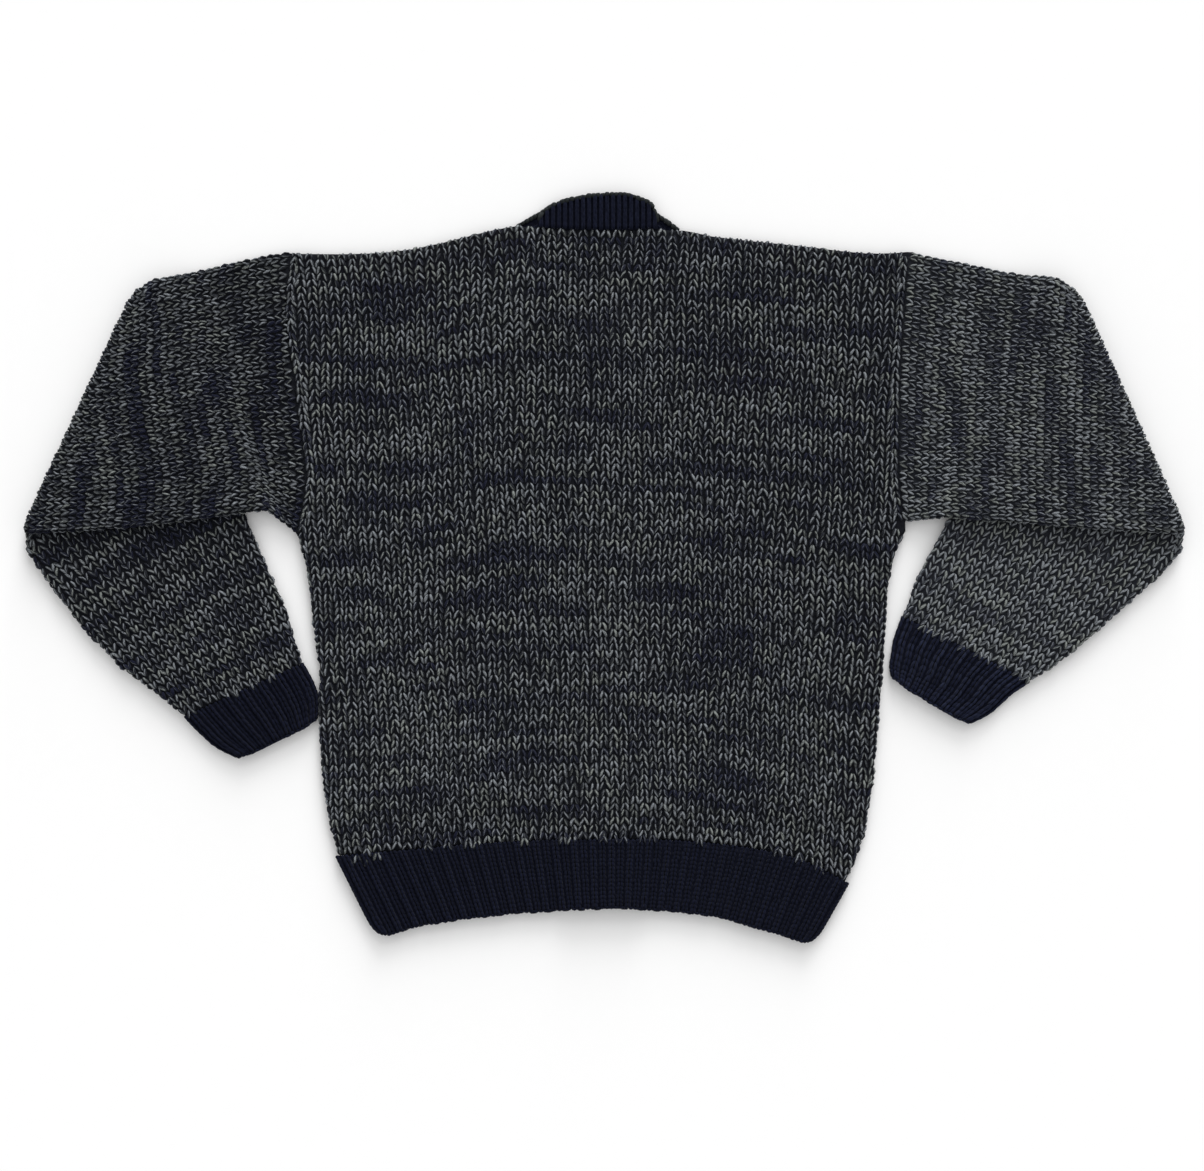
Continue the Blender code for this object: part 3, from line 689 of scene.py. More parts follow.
def lay_cloth(name, points, wall, facing=1, closed=False):
    """A cloth: a plane grid laid on rows of points, given its wall away from its face."""
    rows, columns = points.shape[:2]
    bpy.ops.object.select_all(action="DESELECT")
    bpy.ops.mesh.primitive_grid_add(x_subdivisions=columns - 1, y_subdivisions=rows - 1)
    cloth = bpy.context.object
    cloth.name = name
    cloth.data.name = name
    if len(cloth.data.vertices) != rows * columns:
        raise RuntimeError(f"{name}: the grid has {len(cloth.data.vertices)} points")
    cloth.data.vertices.foreach_set("co", (points * MM).ravel())
    cloth.data.update()
    bpy.ops.object.mode_set(mode="EDIT")
    bpy.ops.mesh.select_all(action="SELECT")
    if closed:
        bpy.ops.mesh.remove_doubles(threshold=0.00001)
    if facing < 0:
        bpy.ops.mesh.flip_normals()
    bpy.ops.object.mode_set(mode="OBJECT")
    face = BVHTree.FromObject(cloth, bpy.context.evaluated_depsgraph_get())
    shell = cloth.modifiers.new("Wall", "SOLIDIFY")
    shell.thickness = wall * MM
    shell.offset = -1.0
    bpy.ops.object.modifier_apply(modifier=shell.name)
    places = np.empty(3 * len(cloth.data.vertices))
    cloth.data.vertices.foreach_get("co", places)
    places[2::3] = np.maximum(places[2::3], FLOOR_GAP * MM)
    cloth.data.vertices.foreach_set("co", places)
    cloth.data.update()
    bpy.ops.object.shade_smooth()
    return Cloth(cloth, face)


def finish_piece(piece, material):
    """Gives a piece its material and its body."""
    piece.data.materials.clear()
    piece.data.materials.append(material)
    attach(piece, "root")


# Yarn


def seat(points, face):
    """Moves points onto a cloth's face, and gives the way out of the cloth at each."""
    flat = (points * MM).reshape(-1, 3).tolist()
    found = [face.find_nearest(point)[:2] for point in flat]
    places = np.array([place for place, _ in found]) / MM
    normals = np.array([normal for _, normal in found])
    return places.reshape(points.shape), normals.reshape(points.shape)


def unit(vectors):
    """Vectors one long, each in its own direction."""
    return vectors / np.maximum(np.linalg.norm(vectors, axis=-1, keepdims=True), 1e-9)


def spin_yarn(name, path, normals, wide, high, angles, length_at, stitch, flipped):
    """One mesh of many closed lengths of yarn.

    path and normals hold a row of points for each length, whose first and last are its
    tips. length_at is how far along its yarn each point lies, stitch is what the
    material reads of each length, which are its place across, its row and a number of
    its own, and flipped tells which lengths run from their upper tip to their lower one.
    """
    count, stations = path.shape[:2]
    sides, rings = len(angles), stations - 2
    along = unit(np.gradient(path, axis=1))
    across = unit(np.cross(along, normals))
    out = np.cross(across, along)
    middle = slice(1, -1)
    ring = (
        path[:, middle, None, :]
        + across[:, middle, None, :] * (wide[:, middle, None] * np.cos(angles))[..., None]
        + out[:, middle, None, :] * (high[:, middle, None] * np.sin(angles))[..., None]
    )
    points = np.concatenate(
        [path[:, :1], ring.reshape(count, rings * sides, 3), path[:, -1:]], axis=1
    )
    each = rings * sides + 2
    faces, uv_u, uv_v = [], [], []
    for j in range(sides):
        k = (j + 1) % sides
        faces.append((0, 1 + j, 1 + k))
        uv_u.append((0, 1, 1))
        uv_v.append((j + 0.5, j, j + 1))
        last = 1 + (rings - 1) * sides
        faces.append((each - 1, last + k, last + j))
        uv_u.append((stations - 1, rings, rings))
        uv_v.append((j + 0.5, j + 1, j))
        for r in range(rings - 1):
            near, far = 1 + r * sides, 1 + (r + 1) * sides
            faces.append((near + j, far + j, far + k, near + k))
            uv_u.append((r + 1, r + 2, r + 2, r + 1))
            uv_v.append((j, j, j + 1, j + 1))
    sizes = np.array([len(face) for face in faces])
    loops = np.array([i for face in faces for i in face])
    stations_of = np.array([i for row in uv_u for i in row])
    turns_of = np.array([i for row in uv_v for i in row]) / sides
    mesh = bpy.data.meshes.new(name)
    mesh.vertices.add(count * each)
    mesh.vertices.foreach_set("co", (points * MM).astype(np.float32).ravel())
    starts = np.arange(count)[:, None] * each
    mesh.loops.add(count * len(loops))
    mesh.loops.foreach_set("vertex_index", (starts + loops).astype(np.int32).ravel())
    mesh.polygons.add(count * len(faces))
    first = np.concatenate([[0], np.cumsum(sizes)[:-1]])
    starts = np.arange(count)[:, None] * len(loops)
    mesh.polygons.foreach_set("loop_start", (starts + first).astype(np.int32).ravel())
    mesh.update(calc_edges=True)
    uv = np.empty((count, len(loops), 2), np.float32)
    uv[..., 0] = length_at[:, stations_of]
    uv[..., 1] = turns_of
    mesh.uv_layers.new(name="Yarn").data.foreach_set("uv", uv.ravel())
    attribute = mesh.attributes.new("stitch", "FLOAT_VECTOR", "POINT")
    attribute.data.foreach_set("vector", np.repeat(stitch, each, 0).astype(np.float32).ravel())
    climb = np.concatenate([[0], np.repeat(np.arange(1, rings + 1), sides), [stations - 1]])
    climb = np.tile(climb / (stations - 1.0), (count, 1))
    climb[flipped] = 1.0 - climb[flipped]
    attribute = mesh.attributes.new("climb", "FLOAT", "POINT")
    attribute.data.foreach_set("value", climb.astype(np.float32).ravel())
    mesh.shade_smooth()
    piece = bpy.data.objects.new(name, mesh)
    bpy.context.scene.collection.objects.link(piece)
    return piece


SWAY_SHARE = 0.7         # how much of the unevenness moves a stitch across
LEAN_ABOUT = 0.4         # how far up a stitch it leans from
PLUMP_SHARE = 1.6        # and how much of it makes the yarn thicker or thinner
LEG_ROWS = 1.5           # the yarn in each leg, in rows
NEXT_ROW, ROWS_ROUND = 7919.0, 613.0    # where along its yarn a row begins
PIECE_SHIFTS = (37.0, 11.0)             # how far apart the pieces' patterns lie
UV_LENGTH = 10.0         # millimetres of yarn to 1 of its UV map


def knit(
    name, cloth, cells, turns, angles, plan, scale, seed, mirrored=True, keep=None, tone=0.0,
    calm=1.0,
):
    """Lays one or two lengths of yarn for each stitch cell and seats them on the cloth.

    cells are (across, up) counts of stitches, plan turns such counts into places, and
    scale is a stitch's width and height in millimetres. tone is how much lighter its yarn
    is than the rest, and calm is how much of the unevenness it keeps. Without a cloth the
    stitches stay where the plan puts them.
    """
    uneven = settings()[0].unevenness * calm
    draws = np.random.default_rng(seed)
    shape = np.array(turns)
    halves = (-1.0, 1.0) if mirrored else (1.0,)
    column, row = (np.repeat(cells[:, i], len(halves)) for i in (0, 1))
    hand = np.tile(halves, len(cells))[:, None]
    count = len(column)
    shift = draws.normal(0.0, uneven, (count, 1))
    sway = draws.normal(0.0, uneven * SWAY_SHARE, (count, 1))
    lean = draws.normal(0.0, uneven, (count, 1)) * (shape[:, 1] - LEAN_ABOUT)
    plump = 1.0 + draws.normal(0.0, uneven * PLUMP_SHARE, (count, 1))
    across = column[:, None] + hand * shape[:, 0] + sway + lean
    up = row[:, None] + shape[:, 1] + shift
    rough = plan(across, up)
    if keep is not None:
        kept = keep(rough[:, len(turns) // 2, :], column, row)
        rough, plump, hand, column, row = (a[kept] for a in (rough, plump, hand, column, row))
        count = len(column)
    if cloth is None:
        seated, normals = rough, np.broadcast_to([0.0, 0.0, 1.0], rough.shape).copy()
    else:
        seated, normals = seat(rough, cloth.face)
    path = seated + normals * (shape[:, 2] * plump)[..., None]
    level = np.abs(normals[..., 2])
    deep = plump * (shape[:, 4] * level + shape[:, 3] * np.sqrt(1.0 - np.minimum(level, 1.0) ** 2))
    path[..., 2] = np.maximum(path[..., 2], deep + FLOOR_GAP)
    flip = hand[:, 0] > 0 if mirrored else np.zeros(count, bool)
    path[flip] = path[flip][:, ::-1]
    normals[flip] = normals[flip][:, ::-1]
    wide, high = shape[:, 3] * plump, shape[:, 4] * plump
    run = np.linalg.norm(np.diff(path, axis=1), axis=-1).cumsum(axis=1)
    run = np.concatenate([np.zeros((count, 1)), run], axis=1)
    leg = LEG_ROWS * scale[1]
    begins = column * 2 * leg + (hand[:, 0] > 0) * leg + (row * NEXT_ROW) % ROWS_ROUND
    stitch = np.stack([
        column * scale[0] + seed * PIECE_SHIFTS[0], row + seed * PIECE_SHIFTS[1],
        draws.random(count) + tone,
    ], axis=-1)
    lengths = (begins[:, None] + run) / UV_LENGTH
    return spin_yarn(name, path, normals, wide, high, angles, lengths, stitch, flip)


def cell_grid(wales, courses, first=None):
    """Counts across and up of a field of stitches, from its middle or a first column."""
    first = -(wales - 1) / 2 if first is None else first
    columns = np.arange(wales) + first
    return np.stack(np.meshgrid(columns, np.arange(courses)), axis=-1).reshape(-1, 2)


def join(name, pieces):
    """Makes one piece of several."""
    bpy.ops.object.select_all(action="DESELECT")
    for piece in pieces:
        piece.select_set(True)
    bpy.context.view_layer.objects.active = pieces[0]
    bpy.ops.object.join()
    pieces[0].name = name
    pieces[0].data.name = name
    return pieces[0]


# Materials


def node(tree, kind, sockets=None, **options):
    """A shader node with its options, and its sockets set or linked."""
    new = tree.nodes.new("ShaderNode" + kind)
    for key, value in options.items():
        setattr(new, key, value)
    for key, value in (sockets or {}).items():
        if isinstance(value, bpy.types.NodeSocket):
            tree.links.new(value, new.inputs[key])
        else:
            new.inputs[key].default_value = value
    return new


def maths(tree, operation, *values, clamp=False):
    """A sum, product or other figure of values."""
    sockets = dict(enumerate(values))
    return node(tree, "Math", sockets, operation=operation, use_clamp=clamp).outputs[0]


def noise(tree, vector, scale, detail=2.0, roughness=0.5):
    """Cloudy noise over a vector."""
    sockets = {"Vector": vector, "Scale": scale, "Detail": detail, "Roughness": roughness}
    return node(tree, "TexNoise", sockets).outputs["Fac"]


def stretch(tree, value, low, high, out_low=0.0, out_high=1.0):
    """Spreads a stretch of a value over another one, with soft ends."""
    sockets = {
        "Value": value, "From Min": low, "From Max": high, "To Min": out_low, "To Max": out_high,
    }
    return node(tree, "MapRange", sockets, interpolation_type="SMOOTHSTEP").outputs["Result"]


def scaled(tree, vector, factors):
    """A vector with each of its parts scaled."""
    sockets = {0: vector, 1: factors}
    return node(tree, "VectorMath", sockets, operation="MULTIPLY").outputs["Vector"]


def mix(tree, share, first, second):
    """A blend of two colours by a share."""
    new = node(tree, "Mix", data_type="RGBA")
    for socket, value in zip((0, 6, 7), (share, first, second)):
        if isinstance(value, bpy.types.NodeSocket):
            tree.links.new(value, new.inputs[socket])
        else:
            new.inputs[socket].default_value = (*value, 1.0)
    return new.outputs[2]


def shade(colour, *factors):
    """A colour made lighter or darker, all over or in each of its parts."""
    if len(factors) == 1:
        factors = factors * 3
    return tuple(part * factor for part, factor in zip(colour, factors))


WOOL_SPECULAR = 0.11
FUZZ_ROUGHNESS = 0.45


def new_material(name, roughness, sheen=0.0):
    """A material whose shader is set for wool."""
    material = bpy.data.materials.new(name)
    material.use_nodes = True
    tree = material.node_tree
    shader = tree.nodes["Principled BSDF"]
    shader.inputs["Roughness"].default_value = roughness
    shader.inputs["Specular IOR Level"].default_value = WOOL_SPECULAR
    shader.inputs["Sheen Weight"].default_value = sheen
    shader.inputs["Sheen Roughness"].default_value = FUZZ_ROUGHNESS
    return material, tree, shader


def yarn_places(tree):
    """What a yarn's material reads.

    It is its map, the places along and round it, its stitch's place on the cloth and own
    number, and how far it is from its tips, which are painted darker as shade.
    """
    yarn = node(tree, "UVMap", uv_map="Yarn").outputs["UV"]
    parts = node(tree, "SeparateXYZ", {"Vector": yarn})
    stitch = node(tree, "Attribute", attribute_name="stitch").outputs["Vector"]
    own = node(tree, "SeparateXYZ", {"Vector": stitch}).outputs["Z"]
    climb = node(tree, "Attribute", attribute_name="climb").outputs["Fac"]
    # foot and head fall to nothing at the yarn's lower and upper tips: painted shade where it
    # dives under other stitches
    foot = stretch(tree, climb, 0.12, 0.46)
    head = stretch(tree, climb, 0.95, 0.62)
    ends = maths(tree, "MULTIPLY", foot, head)
    return yarn, parts.outputs["X"], parts.outputs["Y"], stitch, own, ends


def set_bump(tree, shader, height, strength, distance):
    """Gives a shader the fine relief of a height."""
    sockets = {"Height": height, "Strength": strength, "Distance": distance}
    bump = node(tree, "Bump", sockets)
    tree.links.new(bump.outputs["Normal"], shader.inputs["Normal"])


# The yarns' patterns: how often each changes along or across, then over what range of its
# noise it works
STREAKS = (0.0095, 0.38, 0.0)
STREAK_RANGE = (0.34, 0.60)
BLUE_RANGE = (0.52, 0.36)
GREY_HALVES = (0.072, 0.188)     # half the grey ply's share of the girth, least and most
GREY_EDGE = 0.12
OLIVES = (0.021, 0.5, 3.0)
OLIVE_RANGE = (0.48, 0.62)
OLIVE_TINT = (1.0, 1.0, 0.88)
WANDER = (0.9, 0.0, 0.0)
WANDER_SHARE = 0.9               # how far the plies turn along the yarn
OWN_TURN = 0.16                  # and from stitch to stitch
PLY_MIDDLE = 0.53
PLIES = 3
PLY_RUN = 0.03
OWN_LIGHT = (0.38, 0.72)         # how light a stitch's own number makes it
DRAW_LIGHT = (1.0, 0.55)
OWN_FUZZ = 0.045                 # the pale fuzz over all plies, by its number and streak
STREAK_FUZZ = 0.035
GREY_LEVEL = 0.92
RIDGE_SHARE = 0.35               # the plies' relief beside the fibres'
MARL_FIBRES = (3.2, 10.0, 0.0)
MARL_FIBRE_RANGE = (0.36, 0.64, 0.08, 1.85)
NAVY_FIBRES = (1.6, 7.0, 0.0)
NAVY_PATCHES = (0.02, 0.3, 0.0)
NAVY_RANGE = (0.3, 0.7)
PATCH_SHADE = (0.6, 1.0)
PALER_NAVY_TONES = (1.2, 2.6)
NAVY_TONES = ((0.75, 0.6), (1.65, 1.0))    # dark and light, of the navy and of its rim


def marled_yarn():
    """Three plies, black, navy and grey, whose share of the surface changes along a row."""
    yarn_colours = settings()[1]
    material, tree, shader = new_material("marled_yarn", roughness=0.90, sheen=0.03)
    yarn, along, turn, stitch, own, ends = yarn_places(tree)
    wander = noise(tree, scaled(tree, yarn, WANDER), 1.0, detail=1.0)
    draw = maths(tree, "FRACT", own)
    own_turn = maths(tree, "MULTIPLY", draw, OWN_TURN)
    wander = maths(tree, "MULTIPLY_ADD", wander, WANDER_SHARE, own_turn)
    # The grey ply is centred round the yarn's top, where the light falls, and wanders off it: its
    # pale stroke along each crest is partly the real ply and partly a painted highlight
    middle = maths(tree, "SUBTRACT", turn, YARN_TOP - PLY_MIDDLE)
    edge = maths(tree, "ABSOLUTE", maths(tree, "SUBTRACT", middle, wander))
    patches = noise(tree, scaled(tree, stitch, STREAKS), 1.0, detail=3.0, roughness=0.60)
    patch = stretch(tree, patches, *STREAK_RANGE)
    half_share = stretch(tree, patches, *STREAK_RANGE, *GREY_HALVES)
    inner = maths(tree, "SUBTRACT", half_share, GREY_EDGE)
    grey = stretch(tree, edge, half_share, inner)
    fibres = noise(tree, scaled(tree, yarn, MARL_FIBRES), 1.0, detail=3.0, roughness=0.65)
    fibre = stretch(tree, fibres, *MARL_FIBRE_RANGE)
    # ends takes the grey from the yarn's tips: painted shade where it dives under other stitches
    level = maths(tree, "MULTIPLY", grey, maths(tree, "MULTIPLY", fibre, ends))
    level = maths(tree, "MULTIPLY", level, maths(tree, "MULTIPLY_ADD", own, *OWN_LIGHT))
    level = maths(tree, "MULTIPLY", level, maths(tree, "MULTIPLY_ADD", draw, *DRAW_LIGHT))
    fuzz = maths(tree, "MULTIPLY", patch, STREAK_FUZZ)
    fuzz = maths(tree, "MULTIPLY_ADD", own, OWN_FUZZ, fuzz)
    level = maths(tree, "MULTIPLY_ADD", level, GREY_LEVEL, fuzz, clamp=True)
    blue = stretch(tree, patches, *BLUE_RANGE)
    dark = mix(tree, blue, tuple(yarn_colours.black), tuple(yarn_colours.navy))
    olives = noise(tree, scaled(tree, stitch, OLIVES), 1.0, detail=1.0)
    olive = shade(yarn_colours.grey, *OLIVE_TINT)
    light = mix(tree, stretch(tree, olives, *OLIVE_RANGE), tuple(yarn_colours.grey), olive)
    tree.links.new(mix(tree, level, dark, light), shader.inputs["Base Color"])
    phase = maths(tree, "MULTIPLY_ADD", along, PLY_RUN / yarn_colours.twist, own)
    phase = maths(tree, "MULTIPLY", maths(tree, "ADD", phase, turn), 2 * PLIES * math.pi)
    ridges = maths(tree, "SINE", phase)
    height = maths(tree, "MULTIPLY_ADD", ridges, RIDGE_SHARE, fibres)
    set_bump(tree, shader, height, strength=0.55, distance=0.0006)
    return material


def navy_yarn():
    """Plain navy yarn with paler fibres, paler or worn where its stitch says so, and painted
    darker at its tips as shade.
    """
    yarn_colours = settings()[1]
    material, tree, shader = new_material("navy_yarn", roughness=0.92, sheen=0.02)
    yarn, _, _, stitch, own, ends = yarn_places(tree)
    fibres = noise(tree, scaled(tree, yarn, NAVY_FIBRES), 1.0, detail=3.0, roughness=0.65)
    patches = noise(tree, scaled(tree, stitch, NAVY_PATCHES), 1.0)
    # ends darkens the navy towards the yarn's tips: painted shade where it dives under other
    # stitches
    level = maths(tree, "MULTIPLY", stretch(tree, fibres, *NAVY_RANGE), ends)
    level = maths(tree, "MULTIPLY", level, maths(tree, "MULTIPLY_ADD", own, 0.5, 0.5))
    level = maths(tree, "MULTIPLY", level, stretch(tree, patches, *NAVY_RANGE, *PATCH_SHADE))
    worn = stretch(tree, own, RIM_TONE - 0.05, RIM_TONE)
    # Where a stitch's tone runs high, as on the right cuff, its navy is made paler
    paler_navy = stretch(tree, own, *PALER_NAVY_TONES)
    tones = []
    for navy_tone, rim_tone in NAVY_TONES:
        tone = shade(yarn_colours.rib_navy, navy_tone)
        tone = mix(tree, paler_navy, tone, shade(tone, *PALER_NAVY))
        tones.append(mix(tree, worn, tone, shade(yarn_colours.rim, rim_tone)))
    tree.links.new(mix(tree, level, *tones), shader.inputs["Base Color"])
    set_bump(tree, shader, fibres, strength=0.5, distance=0.0005)
    return material


def ground(name, colour):
    """The cloth between and behind the stitches, coloured dark as painted shade between them."""
    material, tree, shader = new_material(name, roughness=0.95)
    place = node(tree, "TexCoord").outputs["Object"]
    grain = noise(tree, place, 420.0, detail=3.0, roughness=0.6)
    courses = node(
        tree, "TexWave", {"Vector": place, "Scale": 46.0, "Distortion": 2.5, "Detail": 2.0},
        bands_direction="Y",
    ).outputs["Fac"]
    cloud = mix(tree, grain, shade(colour, 0.5), shade(colour, 1.6))
    tree.links.new(cloud, shader.inputs["Base Color"])
    height = maths(tree, "MULTIPLY_ADD", courses, 0.6, grain)
    set_bump(tree, shader, height, strength=0.5, distance=0.001)
    return material


def made(name, maker, *values):
    """A material by its name, made the first time that it is asked for."""
    return bpy.data.materials.get(name) or maker(*values)


def marled(side=-1):
    """The marled knitting's ground, painted dark as shade, its yarn and slot."""
    name, colour = SHADED_MARL_GROUNDS[side]
    between = made(name, ground, name, colour)
    return between, made("marled_yarn", marled_yarn), "marled_knit"


def navy():
    """The ribbing's ground, painted darker than its yarn as shade, its yarn and slot."""
    between = made("navy_ground", ground, "navy_ground", SHADED_NAVY_GROUND)
    return between, made("navy_yarn", navy_yarn), "navy_rib"


def dress(cloth, knits, replaced, finish):
    between, yarn, slot = finish
    finish_piece(cloth.piece, between)
    for piece in knits:
        finish_piece(piece, yarn)
    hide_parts(replaced)


# Body


def body_plan(height, upwards):
    """Turns counts of stitches from the body's centre and its hem seam into places."""
    width = settings()[0].stitch_width / MM
    middle_low = (SIDE_EDGE[-1](CENTRE_SEAM) + SIDE_EDGE[1](CENTRE_SEAM)) / 2
    middle_high = (SIDE_EDGE[-1](NECK_LEVEL) + SIDE_EDGE[1](NECK_LEVEL)) / 2

    def plan(across, up):
        share = up / BODY_COURSES
        x_low = middle_low + across * width * WALE_LOW
        x_high = middle_high + across * width * WALE_HIGH
        x = lerp(x_low, x_high, share) + wave(across, up, *WALE_WAVES)
        y = lerp(seam_height(x_low) + FIRST_COURSE, SHOULDER(x_high), share)
        y = y + wave(across, up, COURSE_WAVE)
        return body_face(x, y, height(x, y), 0.0, upwards)

    return plan, (width, BODY_COURSE)


def body_keep(height, upwards, inner_edge=None, side=0):
    """Which stitches of a body panel lie on it, short of half way round its folds."""

    def keep(place, column, row):
        x, y, z = place.T
        kept = upwards * (height(x, y) - z) < ROLL_KEPT * BODY_ROLL
        spare = np.where(y > UNDERARM[1], ARMHOLE_SPARE[upwards], FOLD_SPARE)
        kept &= (x > SIDE_EDGE[-1](y) + spare) & (x < SIDE_EDGE[1](y) - spare)
        kept &= y > seam_height(x) + SEAM_SPARE
        kept &= y < SHOULDER(x) - np.where(in_neck(x), SEAM_SPARE, FOLD_SPARE)
        if inner_edge is not None:
            kept &= side * (x - inner_edge(y, side)) > FRONT_SPARE
        return kept

    return keep


def edge_column(side):
    """The column of stitches that stands beside an armhole's seam."""
    foot = ARMHOLE_FEET[side] - EDGE_FOOT
    courses = int((ARMHOLE_TOP - foot) / BODY_COURSE) + 1

    def plan(across, up):
        y = np.minimum(foot + up * BODY_COURSE, ARMHOLE_TOP + EDGE_HEAD)
        x = SIDE_EDGE[side](y) - side * EDGE_INSET + across * EDGE_WIDTH
        return np.stack([x, y, back_top(x, y)], axis=-1)

    return plan, cell_grid(1, courses)


def seam_steps(cells, plan, seed):
    """Stitches of a panel's first row that reach over its seam, onto the ribbing."""
    sunk = np.array([0.0, 0.0, settings()[0].sink / MM - STEP_RISE])
    draws = np.random.default_rng(seed)
    cells = cells[draws.random(len(cells)) < STEP_SHARE]
    cells[:, 1] = STEP_ROW
    return cells, lambda across, up: plan(across, up) - sunk


class CARDIGAN_OT_back(bpy.types.Operator):
    """Lay the back and knit its stitches."""

    bl_idname = "cardigan.back"
    bl_label = "Back"

    def execute(self, context):
        sink = settings()[0].sink / MM
        x, y = body_grid(SIDE_EDGE[-1], SIDE_EDGE[1], True, True, BACK_STEPS)
        face = body_face(x, y, back_top(x, y), sink, 1)
        cloth = lay_cloth("back_cloth", face, SHELL_WALL)
        body, scale = body_plan(back_top, 1)
        cells = cell_grid(BODY_WALES, BODY_COURSES)
        knits = []
        for part, half in (("left", cells[:, 0] < 0), ("right", cells[:, 0] > 0)):
            knits.append(knit(
                f"back_stitches_{part}", cloth, cells[half], KNIT_LEG, ROUND_YARN, body, scale,
                SEEDS["body"], keep=body_keep(back_top, 1),
            ))
        for side, where in SIDES_OF_BODY.items():
            plan, column = edge_column(side)
            knits.append(knit(
                f"back_seam_{where}", cloth, column, KNIT_LEG, ROUND_YARN, plan,
                (EDGE_WIDTH, BODY_COURSE), SEEDS["armholes"],
            ))
        cells, above = seam_steps(cell_grid(BODY_WALES, 1), body, SEEDS["steps_on_hem"])
        cells = np.concatenate([cells, STRAY_STITCHES])

        def on_hem(place, column, row):
            x, y, _ = place.T
            return (x > SIDE_EDGE[-1](y) + STEP_INSET) & (x < SIDE_EDGE[1](y) - STEP_INSET)

        knits.append(knit(
            "back_hem_steps", None, cells, KNIT_LEG, ROUND_YARN, above, scale, SEEDS["body"],
            keep=on_hem,
        ))
        dress(cloth, knits, "back", marled())
        return {"FINISHED"}


def front_floor(side):
    """The height at which the front on one side lies: only the right one is on a band."""

    def floor(x, y):
        return band_lift(x, y) if side > 0 else np.zeros(np.shape(x))

    return floor


class CARDIGAN_OT_fronts(bpy.types.Operator):
    """Lay the two fronts, face down under the back, and knit their stitches."""

    bl_idname = "cardigan.fronts"
    bl_label = "Fronts"

    def execute(self, context):
        for side, where in SIDES_OF_BODY.items():
            floor = front_floor(side)
            left = SIDE_EDGE[-1] if side < 0 else (lambda y: neck_edge(y, 1))
            right = SIDE_EDGE[1] if side > 0 else (lambda y: neck_edge(y, -1))
            x, y = body_grid(left, right, side < 0, side > 0, FRONT_STEPS)
            face = body_face(x, y, floor(x, y), UNDER_SINK, -1)
            cloth = lay_cloth(f"front_{where}_cloth", face, SHELL_WALL, facing=-1)
            plan, scale = body_plan(floor, -1)
            cells = cell_grid(BODY_WALES, BODY_COURSES)
            cells = cells[cells[:, 0] * side > 0]
            stitches = knit(
                f"front_{where}_stitches", cloth, cells, FLAT_LEG, FLAT_YARN, plan, scale,
                SEEDS["fronts"] + side, keep=body_keep(floor, -1, neck_edge, side),
            )
            dress(cloth, [stitches], f"front_{where}", marled())
        return {"FINISHED"}


# Sleeves


Tube = namedtuple("Tube", "first last normal full bow half relief tuck")


def tube_point(tube, place, share, turn, sinks):
    """A point of a flattened tube.

    place counts its sections, share runs across one between the centres of its rounded
    edges, and turn is the angle from the side that its normal points from.
    """
    place = np.clip(place, 0.0, len(tube.first) - 1.0)
    i = np.minimum(place.astype(int), len(tube.first) - 2)
    t = (place - i)[..., None]
    first = lerp(tube.first[i], tube.first[i + 1], t)
    last = lerp(tube.last[i], tube.last[i + 1], t)
    normal = unit(lerp(tube.normal[i], tube.normal[i + 1], t))
    full = lerp(tube.full[i], tube.full[i + 1], t[..., 0])
    across = unit(last - first)
    out = across * np.sin(turn)[..., None] + normal * np.cos(turn)[..., None]
    upward = np.clip(out[..., 2], 0.0, 1.0)
    sink = lerp(sinks[0], sinks[1], (out[..., 2] + 1.0) / 2.0)
    point = lerp(first, last, share[..., None]) + out * (tube.half - sink)[..., None]
    point[..., 0] += tube.bow(share) * np.clip(1.0 - place, 0.0, 1.0)
    point[..., :2] += tube.tuck(share, place, np.linalg.norm(last - first, axis=-1))
    point[..., 2] += upward * (full * np.sin(math.pi * share) + tube.relief(point, share, place))
    return point


def round_columns(across_steps, edge_steps):
    """Shares and turns once round a flattened tube, ending where they begin."""
    flat = np.linspace(0.0, 1.0, across_steps + 1)
    bend = np.linspace(0.0, math.pi, edge_steps + 1)[1:-1]
    share = np.concatenate([flat, np.ones(len(bend)), flat[::-1], np.zeros(len(bend)), [0.0]])
    turn = np.concatenate([
        np.zeros(len(flat)), bend, np.full(len(flat), math.pi), math.pi + bend, [2 * math.pi],
    ])
    return share, turn


def lay_tube(name, tube, grid, sinks, wall, facing):
    """A cloth in the form of a flattened tube, closed along its side."""
    share, turn = round_columns(*grid)
    place = np.arange(len(tube.first), dtype=float)[:, None]
    face = tube_point(tube, *np.broadcast_arrays(place, share, turn), sinks)
    return lay_cloth(name, face, wall, facing=facing, closed=True)


def edge_centres(rows, half):
    """The centres of a tube's rounded edges, from the rows of its outline."""
    start = np.array([row[0:2] for row in rows], float)
    end = np.array([row[2:4] for row in rows], float)
    across = unit(end - start)
    return start + across * half, end - across * half


def refine(values, steps):
    """Rows of values with evenly spaced ones between each two of them."""
    places = np.concatenate([[0.0], *[i + np.arange(1, n + 1) / n for i, n in enumerate(steps)]])
    flat = values.reshape(len(values), -1)
    columns = [np.interp(places, np.arange(len(values)), column) for column in flat.T]
    return np.stack(columns, axis=-1).reshape(len(places), *values.shape[1:]), places


def raise_to(plan, level):
    """Plan points with their heights."""
    return np.concatenate([plan, np.broadcast_to(level, (len(plan),))[:, None]], axis=1)


UPPER_STEPS = (9, 9, 5, 5, 7, 7, 7)
FOLD_STEPS = 12
LOWER_STEPS = (2, 12, 12, 8, 8, 9)
TOP_TUCK = (3.5, 10.0)   # how far each end of the elbow fold draws in, over what length
FOOT_TUCK = (1.5, 8.0)
SLEEVE_GRID = (20, 5)    # the shell's columns across a side and round an edge


